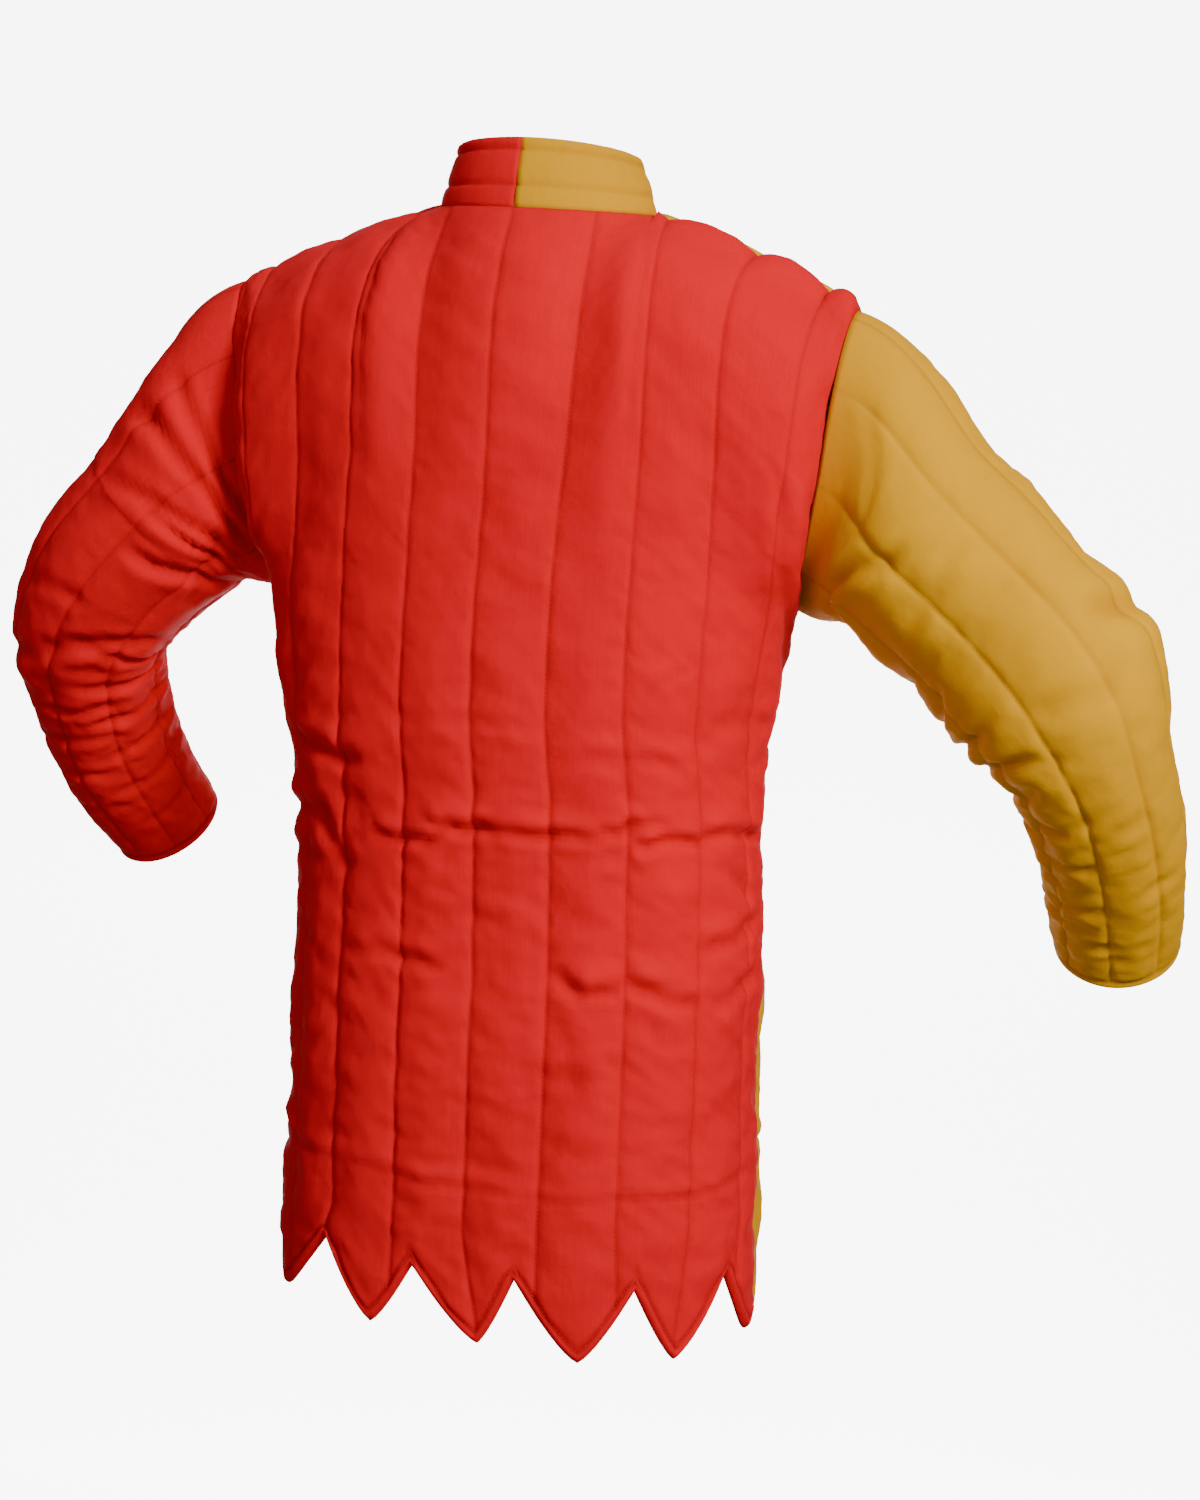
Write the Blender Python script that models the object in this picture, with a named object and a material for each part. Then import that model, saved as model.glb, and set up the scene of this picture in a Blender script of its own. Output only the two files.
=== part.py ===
"""A quilted gambeson in the shape it has when worn, hollow, with nobody in it.

Metres, +Z up. The front faces -Y and the wearer's left is at +X. The origin is the middle of the
neckline, where the wearer's neck and shoulders carry the garment. Each piece that a maker would cut
is one padded wall: its channels swell in the outer points, and its inside is plain.
"""

import math
from functools import lru_cache

import bmesh
import bpy
from mathutils import Matrix, Vector

# Cloth and quilting
WALL = 0.007            # padded cloth at a stitch line
PUFF = 0.0065           # a channel's swell beyond its stitch lines
SEAM = 0.0003           # gap between two pieces that are sewn together
CHANNEL = 0.0575        # width of one quilted channel
STEPS = 4               # mesh columns across one channel of the body
SWELL_POWER = 0.7       # below 1 a channel is flatter on top and steeper at its lines
BACK_CHANNELS = 5       # from the centre back to the side seam
FRONT_CHANNELS = 4      # from the edge strip to the side seam
BACK_HALF = BACK_CHANNELS * CHANNEL

# Neckline and shoulders
NECK_SIDE, NECK_BACK, NECK_FRONT = 0.086, 0.084, 0.090
NECK_BACK_DROP, NECK_FRONT_DROP = 0.016, 0.070
NECK_DIP_POWER = 1.4    # how late the neckline dips towards the centre front
SHOULDER_X, SHOULDER_DROP, SHOULDER_ROUND = 0.252, 0.0655, 1.3
SHOULDER_TILT = math.radians(4.2)       # worn with the right shoulder lower
TILT_TOP, TILT_END = -0.07, -0.75       # the tilt fades between these heights
TILT_POWER = 1.2
SWAYS = (
    # z, to the wearer's right: the body isn't quite straight under the shoulders
    (-0.200, 0.0), (-0.330, -0.0055), (-0.400, -0.0055), (-0.460, 0.0), (-0.500, 0.0), (-0.600, 0.003),
)

# Armholes: a loop from the shoulder tip round the back to the armpit and up the front
ARMPIT_Z = -0.300
ARMHOLE_BACK, ARMHOLE_FRONT = 0.070, 0.062
ARMHOLE_ROWS = 12
ARMHOLE_LEAN = 0.6      # how soon its upper part leans in
ARMHOLE_PULL_FROM = 0.55                # share of a panel beyond which columns lean to the armhole
LEAVE_BACK = (0.18, 0.46, -0.15)        # how columns leave the top edge: back at the middle and at
LEAVE_FRONT = (0.13, 0.38, -0.26)       # the shoulder, and down at the shoulder
LEAVE_MIDDLE_DOWN, ARRIVE_DOWN = -0.24, -0.30

# Body below the armpits: height, half width, depth behind and before the middle
BODY_POWER = 2.25       # a rounded box: 2 would be an ellipse
BODY_SECTIONS = (
    # z, half_width, back, front
    (-0.300, 0.210, 0.127, 0.124),
    (-0.360, 0.202, 0.130, 0.121),
    (-0.420, 0.190, 0.130, 0.118),
    (-0.485, 0.182, 0.125, 0.116),
    (-0.550, 0.184, 0.126, 0.121),
    (-0.620, 0.185, 0.129, 0.128),
    (-0.720, 0.185, 0.131, 0.133),
    (-0.870, 0.189, 0.134, 0.136),
)
SIDE_EASE = 0.024       # extra width of the back beside the armpits
SIDE_EASE_END = -0.47
SEAM_SWING = 0.012      # how far the side seams swing to the back below the waist
SWING_TOP, SWING_FULL = -0.50, -0.62
SEAM_PROBE = 0.004      # half the span from which a side seam's outward direction is read
BODY_ROWS = (-0.345, -0.390, -0.430, -0.466, -0.484, -0.502, -0.545, -0.600, -0.660, -0.715, -0.742,
             -0.768)

# Dagged hem: tongues with rounded ends, and a rolled edge
HEM_ROLL = 0.007
HEM_SHARES = (0.33, 0.66, None, 1.0)    # rows down a dag; None is where the roll starts
HEM_SWELL = 0.15                        # share of the swell that is left in the roll
DAG_ROUND = 1.3                         # 1 would give straight-sided points
BACK_HEM_LEFT = (
    # column, distance from the centre back, z: tip, notch, tip and so on to the side seam
    (0, -0.0153, -0.8610), (3, 0.0390, -0.8095), (5, 0.0734, -0.8555), (8, 0.1220, -0.7990),
    (13, 0.1830, -0.8475), (16, 0.2250, -0.7980), (18, 0.2540, -0.8460), (20, "seam", -0.8400),
)
BACK_HEM_RIGHT = (
    (0, 0.0153, -0.8610), (3, 0.0417, -0.8130), (6, 0.0912, -0.8705), (9, 0.1317, -0.8180),
    (12, 0.1654, -0.8690), (15, 0.2138, -0.8105), (18, 0.2590, -0.8615), (20, "seam", -0.8525),
)
FRONT_HEM = (
    # column, distance from the centre front, z: notch, tip, notch and so on, short of the seam
    (0, -0.0140, -0.8120), (3, 0.0340, -0.8660), (6, 0.0750, -0.8110), (9, 0.1180, -0.8660),
    (12, 0.1600, -0.8100), (14, 0.1900, -0.8600), (16, 0.2160, -0.8070),
)

# Where the columns start along the neckline and shoulder, from the middle outwards
BACK_TOP = (
    # column, distance along the top edge
    (0, 0.000), (4, 0.065), (7, "neck"), (8, 0.012), (12, 0.088), (16, 0.152), (20, "tip"),
)
FRONT_TOP = (
    (1, 0.000), (2, 0.0155), (6, 0.085), (8, "neck"), (10, 0.036), (14, 0.105), (18, "tip"),
)
BACK_NECK_COLUMN, FRONT_NECK_COLUMN = 7, 8
NECK_SPREAD = 0.10      # how far columns fan out round the side of the neck
NECK_SPREAD_COLUMNS = 4
NECK_FADE_ROWS = 3      # the swell starts from nothing where a panel meets the collar
SHOULDER_SWELL = 0.35   # share of the swell of the back where it meets the front at the shoulder

# Centre front: the left front laps over the right
LAP = 0.014
EDGE_STRIP = 0.0155
LAP_LIFT = WALL + 0.0008

# Large folds pressed into the body: height, depth, reach up and down, and how it wanders
BODY_FOLDS = (
    # z, depth, reach, wander
    (-0.484, 0.0060, 0.012, 0.006),
    (-0.742, 0.0035, 0.012, 0.004),
)
FOLD_TURN, FOLD_PHASE = 0.9, 40         # how fast a fold wanders, and how two folds differ

# Collar: a stand in two halves with two rows of stitching
COLLAR_HEIGHT, COLLAR_SLOPE = 0.046, 0.012
COLLAR_TAPER = 0.84
COLLAR_PUFF = 0.0035
COLLAR_ROWS = (
    # fraction of the height, swell
    (0.00, 0.0), (0.15, 0.8), (0.31, 0.0), (0.47, 1.0), (0.64, 1.0), (0.81, 0.0), (0.92, 0.8), (1.00, 0.3),
)
COLLAR_GAP = 0.0015     # between its ends at the centre front

# Sleeves: the middle of each section, its radii, and the swell of the shoulder channel
SLEEVE_COLUMNS = 2 * ARMHOLE_ROWS
SLEEVE_STEPS = 3        # mesh columns across one channel
CAP_ROWS = 5            # from the armhole to the first section
CAP_FADE_ROWS = 3       # the swell starts from nothing at the armhole
CAP_OUT = (0.96, 0.75)                  # how far out a cap leaves the armhole, on top and below
CAP_DOWN_RIGHT, CAP_DOWN_LEFT = (-0.32, -0.65), (-0.16, -0.65)
CAP_SWING = 0.2
CUFF_SWELL = 0.2        # share of the swell that is left at the cuff
CUFF_ROLL = 0.007
SLEEVE_PUFF = 0.0055
SLEEVE_RIGHT = (
    # x, y, z, radius_out, radius_back, outer_puff
    (0.311, 0.004, -0.266, 0.080, 0.078, 1.7),
    (0.361, 0.008, -0.313, 0.077, 0.075, 1.6),
    (0.405, 0.010, -0.362, 0.078, 0.071, 1.7),
    (0.432, -0.012, -0.417, 0.061, 0.065, 0.6),
    (0.443, -0.052, -0.468, 0.055, 0.058, 0.6),
    (0.447, -0.097, -0.516, 0.051, 0.052, 0.6),
    (0.447, -0.140, -0.563, 0.047, 0.048, 0.5),
)
SLEEVE_LEFT = (
    (0.326, -0.002, -0.242, 0.078, 0.077, 1.7),
    (0.371, -0.004, -0.288, 0.071, 0.072, 1.7),
    (0.403, -0.020, -0.331, 0.062, 0.065, 1.4),
    (0.418, -0.055, -0.374, 0.056, 0.060, 0.6),
    (0.425, -0.096, -0.417, 0.053, 0.056, 0.6),
    (0.421, -0.140, -0.461, 0.051, 0.052, 0.6),
    (0.411, -0.185, -0.505, 0.048, 0.049, 0.5),
)

# Buttons down the centre front
BUTTON_RADIUS, BUTTON_HEIGHT = 0.009, 0.006
BUTTON_SEAT = 0.0006
BUTTON_SINK = 0.1       # share of its radius that a button's rim lies below its widest ring
BUTTON_SEGMENTS, BUTTON_RINGS = 12, 6
BUTTON_TOP, BUTTON_PITCH, BUTTONS = -0.105, 0.066, 9

RED = (0.62, 0.028, 0.022, 1.0)
YELLOW = (0.76, 0.36, 0.045, 1.0)
BRASS = (0.42, 0.30, 0.13, 1.0)
SHARP_ANGLE = math.radians(40)


def clamp(value, low=0.0, high=1.0):
    return max(low, min(high, value))


def mix(a, b, share):
    return a + (b - a) * share


def smooth(value):
    value = clamp(value)
    return value * value * (3 - 2 * value)


def read_table(rows, at, column):
    """Value of one column of a table at a height, eased between its rows."""
    for upper, lower in zip(rows, rows[1:]):
        if at >= lower[0]:
            share = clamp((upper[0] - at) / (upper[0] - lower[0]))
            return mix(upper[column], lower[column], share)
    return rows[-1][column]


def hermite(start, leave, end, arrive, share):
    s2, s3 = share * share, share ** 3
    return (start * (2 * s3 - 3 * s2 + 1) + leave * (s3 - 2 * s2 + share)
            + end * (3 * s2 - 2 * s3) + arrive * (s3 - s2))


def along(line, distance):
    """Point at a distance along a line of points; past its ends it runs on straight."""
    start, end = line[0], line[1]
    for start, end in zip(line, line[1:]):
        step = (end - start).length
        if distance <= step:
            return start.lerp(end, distance / step)
        distance -= step
    return end + (end - start).normalized() * distance


def length(line):
    return sum((b - a).length for a, b in zip(line, line[1:]))


def worn(point):
    """Lowers the right shoulder and lifts the left, and sways the body a little sideways."""
    fade = clamp((point.z - TILT_END) / (TILT_TOP - TILT_END))
    sway = read_table(SWAYS, point.z, 1)
    return point + Vector((-sway, 0, point.x * math.tan(SHOULDER_TILT * fade ** TILT_POWER)))


# Curves that the panels are drawn between, all for the wearer's left half


@lru_cache(maxsize=None)
def half_outline(z):
    """Half of the body's outline at a height, from the centre back round to the centre front."""
    half, back, front = (read_table(BODY_SECTIONS, z, column) for column in (1, 2, 3))
    points = []
    for step in range(181):
        s, c = math.sin(math.radians(step)), math.cos(math.radians(step))
        depth = back if c > 0 else front
        points.append(Vector((half * max(s, 0.0) ** (2 / BODY_POWER),
                              math.copysign(depth * abs(c) ** (2 / BODY_POWER), c), z)))
    return points


def body_point(z, distance, from_front):
    """Point of the body at a height, a distance round from the centre back or front."""
    line = half_outline(z)
    if from_front:
        line = line[::-1]
    if distance < 0:
        point = along(line, -distance)
        return Vector((-point.x, point.y, point.z))
    return along(line, distance)


def side_seam(z):
    """Distance of the side seam from the centre back, round the body."""
    ease = SIDE_EASE * smooth((z - SIDE_EASE_END) / (ARMPIT_Z - SIDE_EASE_END))
    return BACK_HALF + ease - SEAM_SWING * smooth((SWING_TOP - z) / (SWING_TOP - SWING_FULL))


def seam_normal(z):
    """Outward direction of the body at its side seam, the same for the front and the back."""
    before = body_point(z, side_seam(z) - SEAM_PROBE, False)
    after = body_point(z, side_seam(z) + SEAM_PROBE, False)
    way = after - before
    return Vector((-way.y, way.x, 0)).normalized()


def neckline(angle):
    """Point of the neckline; 0 is the centre back and pi the centre front."""
    s, c = math.sin(angle), math.cos(angle)
    depth = NECK_BACK if c > 0 else NECK_FRONT
    drop = NECK_BACK_DROP * c if c > 0 else NECK_FRONT_DROP * abs(c) ** NECK_DIP_POWER
    return Vector((NECK_SIDE * s, depth * c, -drop))


@lru_cache(maxsize=None)
def neck_quarter(front):
    """The neckline from the middle to the side of the neck."""
    steps = 60
    angles = [math.pi / 2 * i / steps for i in range(steps + 1)]
    if front:
        return [neckline(math.pi - a) for a in angles]
    return [neckline(a) for a in angles]


@lru_cache(maxsize=None)
def shoulder_line():
    """The shoulder seam, from the side of the neck to the tip."""
    steps = 40
    reach = SHOULDER_X - NECK_SIDE
    return [Vector((NECK_SIDE + reach * i / steps, 0, -SHOULDER_DROP * (i / steps) ** SHOULDER_ROUND))
            for i in range(steps + 1)]


def top_point(column, table, front):
    """Start of a column on the neckline or the shoulder seam."""
    neck, shoulder = neck_quarter(front), shoulder_line()
    line = neck + shoulder[1:]
    neck_length = length(neck)
    places = []
    past_neck = False
    for at, place in table:
        if place == "neck":
            places.append((at, neck_length))
            past_neck = True
        elif place == "tip":
            places.append((at, length(line)))
        else:
            places.append((at, place + (neck_length if past_neck else 0.0)))
    for (a, start), (b, end) in zip(places, places[1:]):
        if column <= b:
            return along(line, mix(start, end, (column - a) / (b - a)))
    return line[-1]


def shoulder_normal(x):
    """Outward direction at the shoulder seam, the same for the front and the back."""
    share = clamp((abs(x) - NECK_SIDE) / (SHOULDER_X - NECK_SIDE), 0.02)
    slope = SHOULDER_DROP * SHOULDER_ROUND * share ** (SHOULDER_ROUND - 1) / (SHOULDER_X - NECK_SIDE)
    return Vector((math.copysign(slope, x), 0, 1)).normalized()


def fall(row):
    """How far down the armhole a row of the upper body lies, from 0 at the shoulder to 1."""
    share = row / ARMHOLE_ROWS
    return 0.5 * share + 0.25 * (1 - math.cos(math.pi * share))


def armhole(row, front):
    """Point of the armhole's edge at a row of the upper body."""
    angle = math.acos(clamp(1 - 2 * fall(row), -1.0, 1.0))
    bottom = body_point(ARMPIT_Z, side_seam(ARMPIT_Z), False)
    depth = -ARMHOLE_FRONT if front else ARMHOLE_BACK
    share = (1 + math.cos(angle)) / 2
    return Vector((
        mix(bottom.x, SHOULDER_X, share ** ARMHOLE_LEAN),
        depth * math.sin(angle) + bottom.y * (1 - share),
        mix(bottom.z, -SHOULDER_DROP, share)))


# Panels of the body


def column_distance(column, z, front):
    """How far from the middle a column lies, measured round the body."""
    if not front:
        straight = min(column, (BACK_CHANNELS - 1) * STEPS) * CHANNEL / STEPS
        beyond = max(0.0, column / STEPS - BACK_CHANNELS + 1)
        return straight + beyond * (CHANNEL + side_seam(z) - BACK_HALF)
    if column == 0:
        return -LAP
    if column <= 2:
        return EDGE_STRIP * (column - 1)
    width = length(half_outline(z)) - side_seam(z) - EDGE_STRIP
    return EDGE_STRIP + width * (column - 2) / (FRONT_CHANNELS * STEPS)


def upper_point(column, row, front):
    """Point of a panel between the neckline or shoulder seam and the armpit."""
    last = 2 + FRONT_CHANNELS * STEPS if front else BACK_CHANNELS * STEPS
    side = -1 if front else 1
    table = FRONT_TOP if front else BACK_TOP
    middle, ridge_out, ridge_down = LEAVE_FRONT if front else LEAVE_BACK
    neck = FRONT_NECK_COLUMN if front else BACK_NECK_COLUMN

    def plain(at):
        start = top_point(at, table, front)
        end = body_point(ARMPIT_Z, column_distance(at, ARMPIT_Z, front), front)
        ridge = smooth((at - neck / 2) / (neck / 2))
        spread = NECK_SPREAD * max(0.0, 1 - abs(at - neck) / NECK_SPREAD_COLUMNS)
        leave = Vector((spread, side * mix(middle, ridge_out, ridge),
                        mix(LEAVE_MIDDLE_DOWN, ridge_down, ridge)))
        return hermite(start, leave, end, Vector((0, 0, ARRIVE_DOWN)), fall(row))

    if front and column == 0:
        point = plain(1 + LAP / EDGE_STRIP)
        return Vector((-point.x, point.y, point.z))
    point = plain(column)
    edge_pull = smooth((column / last - ARMHOLE_PULL_FROM) / (1 - ARMHOLE_PULL_FROM))
    return point + (armhole(row, front) - plain(last)) * edge_pull


def hem_span(column, table):
    """The two places of a hem table that a column lies between, and its share of the way."""
    for before, after in zip(table, table[1:]):
        if column <= after[0]:
            break
    return before, after, (column - before[0]) / (after[0] - before[0])


def hem_height(column, table):
    (_, _, upper), (_, _, lower), share = hem_span(column, table)
    from_tip = share if upper < lower else 1 - share
    return mix(max(upper, lower), min(upper, lower), 1 - from_tip ** DAG_ROUND)


def hem_distance(column, z, table, front):
    """Distance round the body at which a column ends, so that it meets a tip or a notch."""
    (_, start, _), (last, end, _), share = hem_span(column, table)
    if end == "seam":
        end = column_distance(last, z, front)
    return mix(start, end, share)


def lower_rows(column, table, front):
    """Points of one column from the armpit down to the dagged edge."""
    rows = [body_point(z, column_distance(column, z, front), front) for z in BODY_ROWS]
    bottom = hem_height(column, table)
    start = BODY_ROWS[-1]
    for share in HEM_SHARES:
        z = bottom + HEM_ROLL if share is None else mix(start, bottom, share)
        reach = smooth((start - z) / (start - bottom))
        distance = mix(column_distance(column, z, front), hem_distance(column, z, table, front), reach)
        rows.append(body_point(z, distance, front))
    return rows


def channel_swell(column, front):
    """Swell of a channel at a column: 0 at its stitch lines."""
    if front:
        if column <= 2:
            return 0.0
        column -= 2
    return math.sin(math.pi * (column % STEPS) / STEPS) ** SWELL_POWER


def fold_depth(z, column):
    total = 0.0
    for height, depth, reach, wander in BODY_FOLDS:
        at = height + wander * math.sin(column * FOLD_TURN + height * FOLD_PHASE)
        total += depth * math.exp(-((z - at) / reach) ** 2)
    return total


def half_panel(front, hem):
    """Base points and swells of the wearer's left half of a panel, row by row from the top."""
    last = 2 + FRONT_CHANNELS * STEPS if front else BACK_CHANNELS * STEPS
    neck = FRONT_NECK_COLUMN if front else BACK_NECK_COLUMN
    points, swells = [], []
    for column in range(last + 1):
        line = [upper_point(column, row, front) for row in range(ARMHOLE_ROWS + 1)]
        line += lower_rows(column, hem, front)
        swell = []
        for index, point in enumerate(line):
            edge_fade = 1.0
            if index >= len(line) - 2:
                edge_fade = HEM_SWELL
            elif column <= neck and index < NECK_FADE_ROWS:
                edge_fade = index / NECK_FADE_ROWS
            elif index == 0:
                edge_fade = 0.0 if front else SHOULDER_SWELL
            swell.append(PUFF * channel_swell(column, front) * edge_fade - fold_depth(point.z, column))
        points.append(line)
        swells.append(swell)
    return list(map(list, zip(*points))), list(map(list, zip(*swells)))


# Walls


def grid_normals(grid, closed):
    """Outward direction at every point of a grid, from the faces round it."""
    rows, columns = len(grid), len(grid[0])
    normals = [[Vector() for _ in range(columns)] for _ in range(rows)]
    for r in range(rows - 1):
        for c in range(columns if closed else columns - 1):
            d = (c + 1) % columns
            face = (grid[r + 1][d] - grid[r][c]).cross(grid[r][d] - grid[r + 1][c])
            for row, column in ((r, c), (r, d), (r + 1, c), (r + 1, d)):
                normals[row][column] += face
    return [[n.normalized() for n in row] for row in normals]


def pull_in(grid, closed, top=True, sides=True, bottom=False, gap=SEAM / 2):
    """Draws the edges that are seams back from the seam line."""
    def drawn(edge, inner):
        return [e + (i - e).normalized() * gap for e, i in zip(edge, inner)]

    if top:
        grid[0] = drawn(grid[0], grid[1])
    if bottom:
        grid[-1] = drawn(grid[-1], grid[-2])
    if sides and not closed:
        for row in grid:
            row[0], row[-1] = drawn([row[0], row[-1]], [row[1], row[-2]])
    return grid


def wall_mesh(name, outer, inner, closed):
    """A closed wall between an outer and an inner grid of the same size."""
    mesh = bmesh.new()
    sheets = [[[mesh.verts.new(p) for p in row] for row in grid] for grid in (outer, inner)]
    rows, columns = len(outer), len(outer[0])
    spans = range(columns if closed else columns - 1)
    out, back = sheets
    for r in range(rows - 1):
        for c in spans:
            d = (c + 1) % columns
            mesh.faces.new((out[r][c], out[r + 1][c], out[r + 1][d], out[r][d]))
            mesh.faces.new((back[r][d], back[r + 1][d], back[r + 1][c], back[r][c]))
    for c in spans:
        d = (c + 1) % columns
        mesh.faces.new((out[0][c], out[0][d], back[0][d], back[0][c]))
        mesh.faces.new((out[-1][d], out[-1][c], back[-1][c], back[-1][d]))
    if not closed:
        for r in range(rows - 1):
            mesh.faces.new((out[r + 1][0], out[r][0], back[r][0], back[r + 1][0]))
            mesh.faces.new((out[r][-1], out[r + 1][-1], back[r + 1][-1], back[r][-1]))
    bmesh.ops.triangulate(mesh, faces=mesh.faces, quad_method="SHORT_EDGE")
    bmesh.ops.recalc_face_normals(mesh, faces=mesh.faces)
    data = bpy.data.meshes.new(name)
    mesh.to_mesh(data)
    mesh.free()
    return data


def add_piece(name, data, collection, material):
    data.materials.append(material)
    data.shade_smooth()
    data.set_sharp_from_angle(angle=SHARP_ANGLE)
    piece = bpy.data.objects.new(name, data)
    collection.objects.link(piece)
    return piece


def add_wall(name, base, swells, normals, collection, material, closed=False, wall=WALL, **seams):
    """One sewn piece from its base points, its swells and the outward direction at each point."""
    outer = [[p + n * s for p, n, s in zip(*rows)] for rows in zip(base, normals, swells)]
    inner = [[p - n * wall for p, n in zip(*rows)] for rows in zip(base, normals)]
    outer = pull_in(outer, closed, **seams)
    inner = pull_in(inner, closed, **seams)
    outer = [[worn(p) for p in row] for row in outer]
    inner = [[worn(p) for p in row] for row in inner]
    return add_piece(name, wall_mesh(name, outer, inner, closed), collection, material)


def mirrored(grid):
    return [[Vector((-p.x, p.y, p.z)) for p in row][::-1] for row in grid]


def share_seams(points, normals, columns):
    """Gives the shoulder seam and the side seams the direction that both panels use."""
    for column, point in enumerate(points[0]):
        if abs(point.x) > NECK_SIDE - 0.0005:
            normals[0][column] = shoulder_normal(point.x)
    for column in columns:
        for row in range(ARMHOLE_ROWS, len(points)):
            point = points[row][column]
            normal = seam_normal(point.z)
            normals[row][column] = Vector((math.copysign(normal.x, point.x), normal.y, 0))
    return normals


def outward(points, normals):
    """Turns a grid's normals to point away from the body's middle line."""
    row = len(points) // 2
    column = len(points[0]) // 2
    away = points[row][column].copy()
    away.z = 0
    if normals[row][column].dot(away) < 0:
        return [[-n for n in line] for line in normals]
    return normals


def build_back(collection, material):
    points, swells = half_panel(False, BACK_HEM_LEFT)
    right_points, right_swells = half_panel(False, BACK_HEM_RIGHT)
    whole = [m[:-1] + p for m, p in zip(mirrored(right_points), points)]
    swells = [r[::-1][:-1] + s for r, s in zip(right_swells, swells)]
    normals = outward(whole, grid_normals(whole, False))
    normals = share_seams(whole, normals, (0, -1))
    return add_wall("back", whole, swells, normals, collection, material)


def lap_lift(column):
    """How far the left front is raised over the right one at a column."""
    return LAP_LIFT * (1 - smooth((column - 2) / STEPS))


def build_front(name, left, collection, material):
    seam_z = (BACK_HEM_LEFT if left else BACK_HEM_RIGHT)[-1][-1]
    hem = FRONT_HEM + ((2 + FRONT_CHANNELS * STEPS, "seam", seam_z),)
    points, swells = half_panel(True, hem)
    normals = outward(points, grid_normals(points, False))
    normals = share_seams(points, normals, (-1,))
    if left:
        points = [[p + n * lap_lift(c) for c, (p, n) in enumerate(zip(*rows))]
                  for rows in zip(points, normals)]
    else:
        points, normals = mirrored(points), mirrored(normals)
        swells = [s[::-1] for s in swells]
    add_wall(name, points, swells, normals, collection, material)
    return points, normals


# Collar


def neck_stations():
    """Points of the neckline at which the body's columns start, from the centre back to the front."""
    back = [top_point(c, BACK_TOP, False) for c in range(BACK_NECK_COLUMN + 1)]
    front = [top_point(c, FRONT_TOP, True) for c in range(FRONT_NECK_COLUMN - 1, 0, -1)]
    return back + front


def build_collar(name, left, collection, material):
    base = neck_stations()
    base[-1] = base[-1].lerp(base[-2], COLLAR_GAP / (base[-1] - base[-2]).length)
    points, swells = [], []
    for share, swell in COLLAR_ROWS[::-1]:
        row = []
        for point in base:
            angle = math.atan2(point.x / NECK_SIDE, point.y / NECK_BACK)
            height = COLLAR_HEIGHT + COLLAR_SLOPE * math.cos(angle)
            taper = mix(1.0, COLLAR_TAPER, share)
            row.append(Vector((point.x * taper, point.y * taper, point.z + SEAM + height * share)))
        points.append(row)
        swells.append([COLLAR_PUFF * swell] * len(row))
    normals = outward(points, grid_normals(points, False))
    for row in normals:
        row[0] = Vector((0, row[0].y, row[0].z)).normalized()
    if not left:
        points, normals = mirrored(points), mirrored(normals)
    return add_wall(name, points, swells, normals, collection, material, top=False)


# Sleeves


def sleeve_frames(table, side):
    """Middle, outward and backward directions and radii along a sleeve, with half steps."""
    rows = [(Vector((side * x, y, z)), out, back, puff) for x, y, z, out, back, puff in table]
    middles = [r[0] for r in rows]
    frames = []
    for index in range(2 * (len(rows) - 1) + 1):
        at, half = divmod(index, 2)
        if not half:
            frames.append([rows[at][0], *rows[at][1:]])
            continue
        a, b = middles[at], middles[at + 1]
        before = middles[max(at - 1, 0)]
        after = middles[min(at + 2, len(middles) - 1)]
        middle = (a + b) * 0.5 + ((b - before) - (after - a)) * (1 / 16)
        frames.append([middle, *(0.5 * (p + q) for p, q in zip(rows[at][1:], rows[at + 1][1:]))])
    up = Vector((0, 0, 1))
    for index, frame in enumerate(frames):
        before = frames[max(index - 1, 0)][0]
        after = frames[min(index + 1, len(frames) - 1)][0]
        way = (after - before).normalized()
        up = (up - way * up.dot(way)).normalized()
        frame.append(up.copy())
        frame.append(up.cross(way) * side)
        frame.append(way)
    return frames


def sleeve_swell(column, outer_puff, fade):
    """Swell round a sleeve: 0 on its eight lines, and more in the channel that tops the arm."""
    place = (column - 1) % SLEEVE_STEPS
    if place == 0:
        return 0.0
    top = column == 0 or column == SLEEVE_COLUMNS - 1
    return SLEEVE_PUFF * fade * (outer_puff if top else 1.0)


def section_point(frame, column):
    middle, out, back, _, up, rear, _ = frame           # as sleeve_frames lists them
    angle = 2 * math.pi * column / SLEEVE_COLUMNS
    return middle + up * (out * math.cos(angle)) + rear * (back * math.sin(angle))


def armhole_ring(side):
    """The armhole as worn, from the shoulder tip down the back and up the front."""
    down = [armhole(row, False) for row in range(ARMHOLE_ROWS + 1)]
    up = [armhole(row, True) for row in range(ARMHOLE_ROWS - 1, 0, -1)]
    return [worn(Vector((side * p.x, p.y, p.z))) for p in down + up]


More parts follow.
